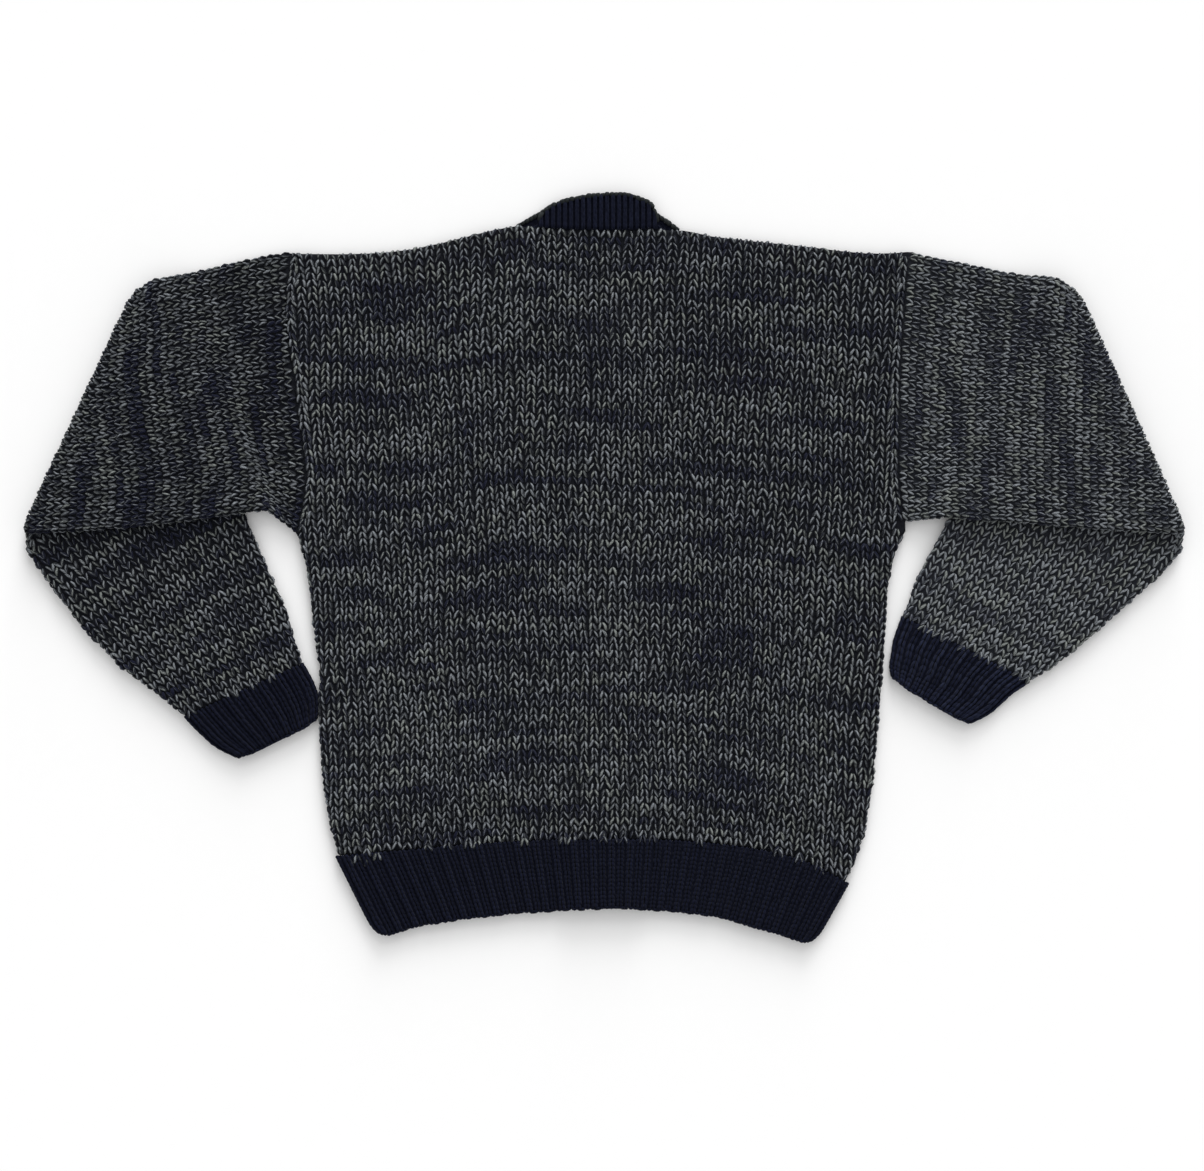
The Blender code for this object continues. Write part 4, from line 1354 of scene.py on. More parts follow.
def sleeve_tube(side):
    """The sleeve's sections: out from the armhole, round the elbow and back underneath."""
    top, foot = ARMHOLE_TOP, ARMHOLE_FEET[side]
    edge = SIDE_EDGE[side]
    first, last = edge_centres(UPPER_SLEEVES[side], HALF_TUBE)
    ends = [[[float(edge(y)) + side * SEAM_GAP, y]] for y in (top, foot)]
    first, last = np.concatenate([ends[0], first]), np.concatenate([ends[1], last])
    first, places = refine(first, UPPER_STEPS)
    last, _ = refine(last, UPPER_STEPS)
    lifts = [0.0, *[row.lift for row in UPPER_SLEEVES[side]]]
    level = HALF_TUBE + 2 * FOLD_RADIUS * np.clip(curve(range(len(lifts)), lifts)(places), 0, 1)
    fulls = np.array([0.0, *[row.full for row in UPPER_SLEEVES[side]]])
    full = np.interp(places, np.arange(len(fulls)), fulls)
    firsts, lasts = [raise_to(first, level)], [raise_to(last, level)]
    normals = [np.tile([0.0, 0.0, 1.0], (len(level), 1))]
    along = unit(last[-1] - first[-1])
    outward = np.array([-side * along[1], side * along[0]])
    for step in range(1, FOLD_STEPS + 1):
        turn = math.pi * step / FOLD_STEPS
        normal = np.array([*outward * math.sin(turn), math.cos(turn)])
        moved = np.array([0.0, 0.0, HALF_TUBE + FOLD_RADIUS]) + normal * FOLD_RADIUS
        firsts.append([[*first[-1], 0.0] + moved])
        lasts.append([[*last[-1], 0.0] + moved])
        normals.append([normal])
    elbow = UPPER_SLEEVES[side][-1]
    rows = [Lower(*elbow[0:4], 0.0), *LOWER_SLEEVES[side]]
    low_first, low_last = edge_centres(rows, HALF_TUBE)
    low_first, places = refine(low_first, LOWER_STEPS)
    low_last, _ = refine(low_last, LOWER_STEPS)
    firsts.append(raise_to(low_first, HALF_TUBE)[1:])
    lasts.append(raise_to(low_last, HALF_TUBE)[1:])
    normals.append(np.tile([0.0, 0.0, -1.0], (len(places) - 1, 1)))
    low_full = np.interp(places, np.arange(len(rows)), [row.full for row in rows])[1:]
    full = np.concatenate([full, np.zeros(FOLD_STEPS), low_full])
    upper_count = len(level)

    def bow(share):
        y = lerp(top, foot, share)
        return edge(y) - lerp(edge(top), edge(foot), share)

    def relief(point, share, place):
        x, y = point[..., 0], point[..., 1]
        upper = crease_height(x, y, SLEEVE_CREASES[side]) * (place < upper_count)
        lower = crease_height(x, y, FOREARM_CREASES[side]) * (place > upper_count + FOLD_STEPS)
        return upper + lower

    def tuck(share, place, width):
        round_fold = np.clip((place - upper_count + 1.0) / FOLD_STEPS, 0.0, 1.0)
        draw = TOP_TUCK[0] * np.exp(-(share * width / TOP_TUCK[1]) ** 2)
        draw = draw + FOOT_TUCK[0] * np.exp(-((1.0 - share) * width / FOOT_TUCK[1]) ** 2)
        return -outward * (draw * np.sin(math.pi * round_fold))[..., None]

    tube = Tube(
        np.concatenate(firsts), np.concatenate(lasts), np.concatenate(normals), full, bow,
        HALF_TUBE, relief, tuck,
    )
    return tube, upper_count


def along_to_turn(along, width, half, over):
    """Splits a distance across a tube's side into its share and its turn round an edge."""
    inside = np.clip(along, 0.0, width)
    turn = (along - inside) / half
    return inside / width, turn if over else math.pi - turn


def upper_plan(tube, sinks, over, limit):
    """Stitches that run out from the armhole, and how many fit each of their columns."""
    course = settings()[0].sleeve_course / MM
    stations = np.arange(len(tube.first), dtype=float)
    reach = HALF_TUBE * math.pi / 2
    columns = np.arange(SLEEVE_WALES) - (SLEEVE_WALES - 1) / 2
    turn = np.full(len(stations), 0.0 if over else math.pi)
    lengths = []
    for column in columns:
        middle = np.clip(0.5 + column / SLEEVE_WALES, SLEEVE_EDGE, 1.0 - SLEEVE_EDGE)
        share = np.full(len(stations), middle)
        line = tube_point(tube, stations, share, turn, sinks)
        run = np.linalg.norm(np.diff(line, axis=0), axis=1).cumsum()
        lengths.append(np.concatenate([[0.0], run]))
    cells = [
        (column, row) for column, length in zip(columns, lengths)
        for row in np.arange(SLEEVE_START, length[limit] / course)
    ]

    def plan(across, up):
        place = np.empty(across.shape)
        owner = np.rint(across[:, len(across[0]) // 2] + (SLEEVE_WALES - 1) / 2).astype(int)
        owner = np.clip(owner, 0, SLEEVE_WALES - 1)
        for i in range(SLEEVE_WALES):
            mine = owner == i
            place[mine] = np.interp(up[mine] * course, lengths[i], stations)
        i = np.clip(np.rint(place).astype(int), 0, len(stations) - 1)
        width = np.linalg.norm(tube.last[i] - tube.first[i], axis=-1)
        distance = lerp(-reach, width + reach, 0.5 + across / SLEEVE_WALES)
        share, turned = along_to_turn(distance, width, tube.half, over)
        return tube_point(tube, place, share, turned, sinks)

    return plan, np.array(cells), course


def line_inset(x, y, line, sign):
    """How far places lie inside a line of points, and the line's way out there."""
    line = np.asarray(line, float)
    best = np.full(x.shape, np.inf)
    inset, out_x, out_y = np.zeros(x.shape), np.zeros(x.shape), np.zeros(x.shape)
    for k, (start, end) in enumerate(zip(line, line[1:])):
        way = end - start
        length = np.hypot(*way)
        way = way / length
        along = (x - start[0]) * way[0] + (y - start[1]) * way[1]
        low = -np.inf if k == 0 else 0.0
        high = np.inf if k == len(line) - 2 else length
        near = np.clip(along, low, high)
        gap = np.hypot(x - start[0] - way[0] * near, y - start[1] - way[1] * near)
        closer = gap < best
        side = sign * ((x - start[0]) * -way[1] + (y - start[1]) * way[0])
        best = np.where(closer, gap, best)
        inset = np.where(closer, np.copysign(gap, side), inset)
        out_x = np.where(closer, sign * way[1], out_x)
        out_y = np.where(closer, sign * -way[0], out_y)
    return inset, out_x, out_y


def forearm_edges(side):
    """The inner and the outer outline of the sleeve below the elbow."""
    rows = LOWER_SLEEVES[side]
    inner = [(row.inner_x, row.inner_y) for row in rows]
    outer = [(row.outer_x, row.outer_y) for row in rows]
    return inner, outer


def forearm_plan(side, upwards):
    """Stitches that run from the cuff up the forearm."""
    knit_settings = settings()[0]
    course = knit_settings.sleeve_course / MM
    width = knit_settings.sleeve_width / MM
    seam = LOWER_SLEEVES[side][-1]
    start = np.array([seam.inner_x, seam.inner_y])
    end = np.array([seam.outer_x, seam.outer_y])
    middle, along = (start + end) / 2, unit(end - start)
    length = np.hypot(*(end - start))
    inner, outer = forearm_edges(side)
    level = 2 * HALF_TUBE if upwards > 0 else 0.0

    def plan(across, up):
        far = across * width
        lean = np.radians(FOREARM_LEAN + 2 * FOREARM_FAN * far / length)
        rise = up * course + FIRST_COURSE + wave(far, up, FOREARM_WAVE)
        x = middle[0] + along[0] * far + side * np.sin(lean) * rise
        y = middle[1] + along[1] * far + np.cos(lean) * rise
        edges = [
            (*line_inset(x, y, inner, side), 1.0), (*line_inset(x, y, outer, -side), 1.0),
        ]
        return roll_edges(x, y, np.full(x.shape, level), edges, HALF_TUBE, upwards)

    def keep(place, column, row):
        x, y = place[:, 0], place[:, 1]
        kept = np.ones(len(x), bool)
        for line, sign in ((inner, side), (outer, -side)):
            kept &= line_inset(x, y, line, sign)[0] > FOREARM_SPARE
        sections = UPPER_SLEEVES[side]
        if upwards > 0:
            xs, ys = zip(*sorted(section[2:4] for section in sections))
            kept &= y < np.interp(x, xs, ys) + TUCK
        fold = [sections[-1][0:2], sections[-1][2:4]]
        kept &= line_inset(x, y, fold, -side)[0] > -FOLD_PAST
        return kept

    return plan, keep, (width, course)


def elbow_plan(side, level):
    """A column of stitches round the elbow's outer corner."""
    line = np.array(ELBOWS[side], float)
    run = np.concatenate([[0.0], np.hypot(*np.diff(line, axis=0).T).cumsum()])
    course = settings()[0].sleeve_course / MM
    way = unit(np.gradient(line, run, axis=0))

    def plan(across, up):
        along = np.clip(up * course, 0.0, run[-1])
        x, y = (np.interp(along, run, line[:, axis]) for axis in (0, 1))
        way_x, way_y = (np.interp(along, run, way[:, axis]) for axis in (0, 1))
        x = x - way_y * across * ELBOW_WIDTH
        y = y + way_x * across * ELBOW_WIDTH
        return np.stack([x, y, np.full(x.shape, level)], axis=-1)

    return plan, cell_grid(1, int(run[-1] / course)), (ELBOW_WIDTH, course)


class CARDIGAN_OT_sleeves(bpy.types.Operator):
    """Lay the two sleeves, folded under at the elbow, and knit their stitches."""

    bl_idname = "cardigan.sleeves"
    bl_label = "Sleeves"

    def execute(self, context):
        sinks = (UNDER_SINK, settings()[0].sink / MM)
        width = settings()[0].sleeve_width / MM
        for side, where in SIDES_OF_BODY.items():
            tube, upper_count = sleeve_tube(side)
            name = f"sleeve_{where}_cloth"
            cloth = lay_tube(name, tube, SLEEVE_GRID, sinks, SLEEVE_SHELL, side)
            round_limit = upper_count + round(FOLD_STEPS * ROUND_SHARE)
            plan, cells, course = upper_plan(tube, sinks, True, round_limit)
            knits = [knit(
                f"sleeve_{where}_upper", cloth, cells, SLEEVE_LEG, ROUND_YARN, plan,
                (width, course), SEEDS["upper"] + side, tone=UPPER_TONES[side],
            )]
            plan, cells, course = upper_plan(tube, sinks, False, upper_count - 2)
            inner = forearm_edges(side)[0]

            def bare(place, column, row):
                """Whether a place under the upper sleeve lies beside the forearm."""
                return line_inset(place[:, 0], place[:, 1], inner, side)[0] < UNDER_PAST

            knits.append(knit(
                f"sleeve_{where}_under", cloth, cells, FLAT_LEG, FLAT_YARN, plan,
                (width, course), SEEDS["under"] + side, keep=bare,
            ))
            tone = FOREARM_TONES[side]
            cells = cell_grid(FOREARM_WALES, FOREARM_COURSES)
            for part, upwards, leg, yarn in (
                ("forearm", 1, SLEEVE_LEG, ROUND_YARN), ("rest", -1, FLAT_LEG, FLAT_YARN),
            ):
                plan, keep, scale = forearm_plan(side, upwards)
                knits.append(knit(
                    f"sleeve_{where}_{part}", cloth, cells, leg, yarn, plan, scale,
                    SEEDS["forearm"] + side + upwards, keep=keep, tone=tone,
                ))
            plan, keep, scale = forearm_plan(side, 1)
            seed = SEEDS["steps_on_cuffs"] + side
            cells, above = seam_steps(cell_grid(FOREARM_WALES, 1), plan, seed)
            knits.append(knit(
                f"sleeve_{where}_cuff_steps", None, cells, SLEEVE_LEG, ROUND_YARN, above, scale,
                SEEDS["cuff_steps"] + side, keep=keep, tone=tone,
            ))
            corner = []
            for level in ELBOW_LEVELS:
                plan, cells, scale = elbow_plan(side, level)
                corner.append(knit(
                    "corner", None, cells, SLEEVE_LEG, ROUND_YARN, plan, scale,
                    SEEDS["elbow"] + side, tone=tone,
                ))
            knits.append(join(f"sleeve_{where}_elbow", corner))
            dress(cloth, knits, f"sleeve_{where}", marled(side))
        return {"FINISHED"}


# Ribbing


def rib_wave(count):
    """How high ribbing stands at a count of its repeats: 1 on a rib, 0 beside it."""
    return 0.5 - 0.5 * np.cos(2 * math.pi * count)


def rib(
    name, cloth, ribs, courses, plan, scale, seed, rim, keep=None, shown=True, worn=False,
    tone=0.0, leg=RIB_LEG, between=VALLEY_LEGS,
):
    """Ribbing: two legs of yarn up each rib, lower ones between the ribs, painted darker as shade,
    and a rim.

    rim is the plan of the rim's stitches and their number. Where the ribbing rests on
    something it has flatter legs on its ribs alone.
    """
    parts = [knit(
        name, cloth, cell_grid(ribs, courses, 0.5), leg if shown else FLAT_RIB_LEG, FLAT_YARN,
        plan, scale, seed, keep=keep, tone=tone, calm=RIB_CALM,
    )]
    if shown:
        cells = cell_grid(ribs + 1, courses, -0.5)
        for turns in between:
            # Between the ribs the yarn is painted darker by VALLEY_SHADE, as shade in the valleys
            parts.append(knit(
                name, cloth, cells, turns, FLAT_YARN, plan, scale, seed, mirrored=False,
                keep=keep, tone=tone - VALLEY_SHADE, calm=RIB_CALM,
            ))
    rim_plan, lumps = rim
    lump, rim_tone = (RIM_LUMP, RIM_TONE) if worn else (EDGE_LUMP, tone)
    parts.append(knit(
        name, cloth, cell_grid(lumps, 1, 0.5), lump, ROUND_YARN, rim_plan, LUMP_SCALE, seed,
        mirrored=False, tone=rim_tone,
    ))
    return join(name, parts)


HEM_RIPPLE = (0.7, 0.093, 0.031)    # how far the hem's edge strays, and how often
HEM_GRID = 12            # rows of its shell
HEM_START = 0.55         # the first row and the last
HEM_LAST = 0.6
HEM_RIM = (0.012, 0.03)  # where the rim's stitches lie, and how far they reach up


def hem_shape(ends_low, x_start, x_end):
    """Turns shares across and up a hem into plan places, with its insets from its rims."""
    low_start, low_end = ends_low

    def place(share, up):
        x_top, x_low = lerp(x_start, x_end, share), lerp(low_start, low_end, share)
        x = lerp(x_low, x_top, up)
        foot, seam = FOOT_OF_HEM(x_low), seam_height(x_top) - 2 * SEAM_GAP
        foot = foot + HEM_RIPPLE[0] * np.sin(x_low * HEM_RIPPLE[1]) * np.sin(
            x_low * HEM_RIPPLE[2] + 1.0
        )
        y = lerp(foot, seam, up)
        edge_start = lerp(low_start, x_start, np.clip(up, 0.0, 1.0))
        edge_end = lerp(low_end, x_end, np.clip(up, 0.0, 1.0))
        below, start, end = y - foot, x - edge_start, edge_end - x
        low = np.exp(-(below / HEM_CORNER) ** 2)
        left = np.exp(-(start / HEM_CORNER) ** 2) * low * (ends_low[0] == HEM_CORNERS[0])
        right = np.exp(-(end / HEM_CORNER) ** 2) * low * (ends_low[1] == HEM_CORNERS[1])
        round_x, round_y = HEM_ROUNDING
        return x + round_x * (left - right), y + round_y * (left + right), below, start, end

    return place


def rib_grid(steps, courses, rolls, long):
    """A ribbed panel's shares: close together where they roll over its rims."""
    across, out = spread(steps, RIM_ROLL, *rolls)
    up, below = spread(courses, RIM_ROLL, True, False)
    inset = RIM_ROLL / long
    across = lerp(inset if rolls[0] else 0.0, 1 - inset if rolls[1] else 1.0, across)
    up = lerp(RIM_ROLL / HEM_TALL, 1.0, up) + below / HEM_TALL
    return np.meshgrid(across + out / long, up)


def hem_panel(name, ends_low, ends_top, floor, ribs, upwards, rolls):
    """One stretch of the hem, ribbed on the side that shows."""
    place = hem_shape(ends_low, *ends_top)
    long = ends_top[1] - ends_top[0]
    sink = settings()[0].rib_sink / MM if upwards > 0 else UNDER_SINK

    def level(x, y, share):
        rise = RIB_WALL + RIB_RISE * rib_wave(share * ribs) if upwards > 0 else 0.0
        return floor(x, y) + rise

    def face(share, up, depth):
        x, y, foot, start, end = place(share, up)
        edges = [(foot - depth, 0, -1, 1.0)]
        if rolls[0]:
            edges.append((start - depth, -1, 0, 1.0))
        if rolls[1]:
            edges.append((end - depth, 1, 0, 1.0))
        height = level(x, y, np.clip(share, 0.0, 1.0)) - upwards * depth
        return roll_edges(x, y, height, edges, RIM_ROLL, upwards)

    shares, ups = rib_grid(ribs * RIB_STEPS + 1, HEM_GRID, rolls, long)
    cloth = lay_cloth(f"{name}_cloth", face(shares, ups, sink), RIB_SHELL, facing=upwards)
    lumps = round(long / EDGE_LUMP_LENGTH)

    def plan(across, up):
        return face(across / ribs, (up + HEM_START) / HEM_COURSES, 0.0)

    def rim_plan(across, up):
        return face(across / lumps, HEM_RIM[0] + up * HEM_RIM[1], 0.0)

    def keep(at, column, row):
        return row < HEM_COURSES - HEM_LAST

    stitches = rib(
        f"{name}_stitches", cloth, ribs, HEM_COURSES, plan, (long / ribs, HEM_COURSE),
        SEEDS[name], (rim_plan, lumps), keep=keep, shown=upwards > 0,
    )
    dress(cloth, [stitches], name, navy())


class CARDIGAN_OT_hem(bpy.types.Operator):
    """Lay the ribbed hem of the back and of both fronts."""

    bl_idname = "cardigan.hem"
    bl_label = "Hem"

    def execute(self, context):
        left, right = SEAM_LINE[0][0], SEAM_LINE[0][-1]
        seam = BAND_HALF + SEAM_GAP

        def back_floor(x, y):
            return BACK_UNDER + band_lift(x, y, BACK_SLACK)

        hem_panel(
            "hem_back", HEM_CORNERS, (left, right), back_floor, HEM_RIBS, 1, (True, True),
        )
        for side, where, low, top in (
            (-1, "left", (HEM_CORNERS[0], -seam), (left, -seam)),
            (1, "right", (seam, HEM_CORNERS[1]), (seam, right)),
        ):
            hem_panel(
                f"hem_front_{where}", low, top, front_floor(side), FRONT_HEM_RIBS[side], -1,
                (side < 0, side > 0),
            )
        return {"FINISHED"}


CUFF_STEPS = (3, 3, 4)
CUFF_GRID = (CUFF_RIBS * RIB_STEPS, 6)
CUFF_START = 0.5         # the first row, from the free edge
CUFF_RIM = (0.15, 0.4)   # how far in from it the rim's stitches lie and reach


def cuff_tube(side):
    """The cuff's sections, from its seam to its free edge."""
    end = LOWER_SLEEVES[side][-1]
    down = unit(np.array([
        -side * (end.outer_y - end.inner_y), side * (end.outer_x - end.inner_x),
    ])) * -SEAM_GAP
    start = Lower(
        end.inner_x + down[0], end.inner_y + down[1], end.outer_x + down[0],
        end.outer_y + down[1], end.full,
    )
    rows = [start, *CUFFS[side]]
    first, last = edge_centres(rows, HALF_CUFF)
    first, places = refine(first, CUFF_STEPS)
    last, _ = refine(last, CUFF_STEPS)
    full = np.interp(places, np.arange(len(rows)), [row.full for row in rows])
    normal = np.tile([0.0, 0.0, 1.0], (len(first), 1))
    up_sleeve = -unit(down)
    across = unit(last[-1] - first[-1])
    round_across, round_up = CUFF_ROUNDING

    def relief(point, share, place):
        return RIB_RISE * rib_wave(share * CUFF_RIBS)

    def tuck(share, place, width):
        below = (len(first) - 1 - place) * CUFF_COURSE
        free = np.exp(-(below / CUFF_CORNER) ** 2)[..., None]
        start = np.exp(-(share * width / CUFF_CORNER) ** 2)[..., None]
        end = np.exp(-((1.0 - share) * width / CUFF_CORNER) ** 2)[..., None]
        moved = up_sleeve * round_up * (start + end) + across * round_across * (start - end)
        return free * moved

    return Tube(
        raise_to(first, HALF_CUFF), raise_to(last, HALF_CUFF), normal, full, np.zeros_like,
        HALF_CUFF, relief, tuck,
    )


class CARDIGAN_OT_cuffs(bpy.types.Operator):
    """Lay the two ribbed cuffs."""

    bl_idname = "cardigan.cuffs"
    bl_label = "Cuffs"

    def execute(self, context):
        sinks = (UNDER_SINK, settings()[0].rib_sink / MM)
        for side, where in SIDES_OF_BODY.items():
            tube = cuff_tube(side)
            width = np.linalg.norm(tube.last - tube.first, axis=-1)
            lumps = round(width[-1] / CUFF_LUMP_LENGTH)
            stations = len(tube.first) - 1
            name = f"cuff_{where}"
            cloth = lay_tube(f"{name}_cloth", tube, CUFF_GRID, sinks, RIB_SHELL, -side)
            parts = []
            for over in (True, False):

                def place_at(share_across, station):
                    wide = np.interp(station, np.arange(stations + 1), width)
                    distance = lerp(-CUFF_EDGE, wide + CUFF_EDGE, share_across)
                    share, turn = along_to_turn(distance, wide, tube.half, over)
                    return tube_point(tube, station, share, turn, sinks)

                def plan(across, up):
                    station = stations * (1.0 - (up + CUFF_START) / CUFF_COURSES)
                    return place_at(across / CUFF_RIBS, station)

                def rim_plan(across, up):
                    return place_at(across / lumps, stations - CUFF_RIM[0] - up * CUFF_RIM[1])

                parts.append(rib(
                    f"{name}_part", cloth, CUFF_RIBS, CUFF_COURSES, plan,
                    (width.mean() / CUFF_RIBS, CUFF_COURSE), SEEDS["cuffs"] + side,
                    (rim_plan, lumps), shown=over, tone=CUFF_TONES[side],
                ))
            dress(cloth, [join(f"{name}_stitches", parts)], name, navy())
        return {"FINISHED"}


NECK_GRID = 9            # rows of the neckband's shell
NECK_START = 0.4         # the first row and the last
NECK_LAST = 1.7
NECK_RIM = (0.93, 0.05)  # where the rim's stitches lie, and how far they reach up


class CARDIGAN_OT_neckband(bpy.types.Operator):
    """Lay the ribbed band behind the neck."""

    bl_idname = "cardigan.neckband"
    bl_label = "Neckband"

    def execute(self, context):
        sink = settings()[0].rib_sink / MM
        start, end = NECK_RISES[0].x, NECK_RISES[-1].x


        def tall_at(share):
            return np.maximum(RISE_OF_NECK(lerp(start, end, share)), 1.0)

        def face(share, up, depth):
            x = lerp(start, end, share)
            rise = tall_at(share)
            seam = lerp(-NECK_SINK, SEAM_GAP, np.clip(up * NECK_FOOT, 0.0, 1.0))
            y = SHOULDER(x) + seam + rise * up
            top = SHOULDER(x) + SEAM_GAP + rise
            height = BACK_UNDER + RIB_WALL + RIB_RISE * rib_wave(np.clip(share, 0, 1) * NECK_RIBS)
            edges = [(top - y - depth, 0, 1, 1.0)]
            return roll_edges(x, y, height - depth, edges, RIM_ROLL, 1)

        across = np.linspace(0.0, 1.0, NECK_RIBS * RIB_STEPS + 1)
        up, above = spread(NECK_GRID, RIM_ROLL, False, True)
        up = up * (1 - RIM_ROLL / NECK_TALL) + above / NECK_TALL
        shares, ups = np.meshgrid(across, up)
        cloth = lay_cloth("band_neck_cloth", face(shares, ups, sink), RIB_SHELL)
        lumps = round((end - start) / WORN_LUMP_LENGTH)

        def plan(across, up):
            share = across / NECK_RIBS
            return face(share, (up + NECK_START) * NECK_COURSE / tall_at(share), 0.0)

        def rim_plan(across, up):
            return face(across / lumps, NECK_RIM[0] + up * NECK_RIM[1], 0.0)

        def keep(at, column, row):
            return (row + NECK_LAST) * NECK_COURSE < tall_at(column / NECK_RIBS)

        stitches = rib(
            "band_neck_stitches", cloth, NECK_RIBS, NECK_COURSES, plan, (BAND_RIB, NECK_COURSE),
            SEEDS["neckband"], (rim_plan, lumps), keep=keep, worn=True, tone=NECK_TONE,
            leg=NECK_LEG, between=(),
        )
        dress(cloth, [stitches], "band_neck", navy())
        return {"FINISHED"}


# Where a front band's shell has its columns, and how far its rounded edges stand back
BAND_SHARES = np.concatenate([[0.0, 0.03], np.linspace(0.1, 0.9, 7), [0.97, 1.0]])
BAND_EDGES = np.array([0.8, 0.2] + [0.0] * 7 + [0.2, 0.8])
BAND_START = 0.3         # the first row
BAND_RIM = (0.985, 0.05)   # where the rim's stitches lie, and how far they reach in
TIP_RIM = (1.8, 0.9)
TIP_END = 0.7            # the last rib short of the end


def band_rails(side):
    """A front band's two edges: sewn to the front, and free, with a mitre at the V."""
    start = np.array([side * BAND_HALF, V_POINT])
    point = NECK_POINTS[side]
    seam_end = np.array([point.x, point.y], float)
    way = unit(seam_end - start)
    across = np.array([-side * way[1], side * way[0]])
    shifted = start + across * BAND_WIDTH
    mitre = shifted + way * ((-side * BAND_HALF - shifted[0]) / way[0])
    free_end = seam_end + across * BAND_WIDTH + way * BAND_TIPS[side]
    bottom = float(FOOT_OF_HEM(0.0))
    seam = np.array([[side * BAND_HALF, bottom], start, seam_end])
    free = np.array([[-side * BAND_HALF, bottom], mitre, free_end])
    return seam, free


class CARDIGAN_OT_front_bands(bpy.types.Operator):
    """Lay the two ribbed button bands under the back."""

    bl_idname = "cardigan.front_bands"
    bl_label = "Front Bands"

    def execute(self, context):
        for side, where in SIDES_OF_BODY.items():
            floor = front_floor(side)
            seam, free = band_rails(side)
            middle = (seam + free) / 2
            run = np.concatenate([[0.0], np.hypot(*np.diff(middle, axis=0).T).cumsum()])
            long = run[-1]

            def rail_place(length, share):
                points = []
                for axis in (0, 1):
                    near = np.interp(length, run, seam[:, axis])
                    far = np.interp(length, run, free[:, axis])
                    points.append(lerp(near, far, share))
                return points

            def face(length, share, depth, upper):
                x, y = rail_place(np.clip(length, 0.0, long), np.clip(share, 0.0, 1.0))
                level = floor(x, y) + (RIB_WALL if upper else 0.0)
                z = level + (-depth if upper else depth)
                return np.stack(np.broadcast_arrays(x, y, z), axis=-1)

            lengths = np.linspace(0.0, long, round(long / BAND_STEP))
            grid_length, grid_share = np.meshgrid(lengths, BAND_SHARES, indexing="ij")
            points = face(grid_length, grid_share, UNDER_SINK, False)
            points[..., 2] += BAND_EDGES
            name = f"band_{where}"
            cloth = lay_cloth(f"{name}_cloth", points, BAND_SHELL, facing=side)
            ribs = round(long / BAND_RIB)
            lumps = round(long / EDGE_LUMP_LENGTH)
            end_lumps = round(BAND_WIDTH / WORN_LUMP_LENGTH)

            def row_plan(sink, upper):
                def plan(across, up):
                    share = (up + BAND_START) / BAND_COURSES
                    return face(across / ribs * long, share, sink, upper)

                return plan

            def rim_plan(across, up):
                return face(across / lumps * long, BAND_RIM[0] - up * BAND_RIM[1], 0.0, False)

            def tip_rim(across, up):
                length = long - TIP_RIM[0] + up * TIP_RIM[1]
                return face(length, across / end_lumps, TIP_SINK, True)

            def at_tip(place, column, row):
                near = place[:, 1] > NECK_POINTS[side].y - TIP_REACH
                return near & (column < ribs - TIP_END)

            scale = (BAND_RIB, BAND_COURSE)
            stitches = rib(
                f"{name}_stitches", cloth, ribs, BAND_COURSES, row_plan(0.0, False), scale,
                SEEDS["bands"] + side, (rim_plan, lumps), shown=False,
            )
            tip = rib(
                f"{name}_tip", None, ribs, BAND_COURSES - 1, row_plan(TIP_SINK, True), scale,
                SEEDS["tips"] + side, (tip_rim, end_lumps), keep=at_tip, worn=True,
                between=PURL_BUMPS,
            )
            dress(cloth, [stitches, tip], name, navy())
        return {"FINISHED"}


# Buttons


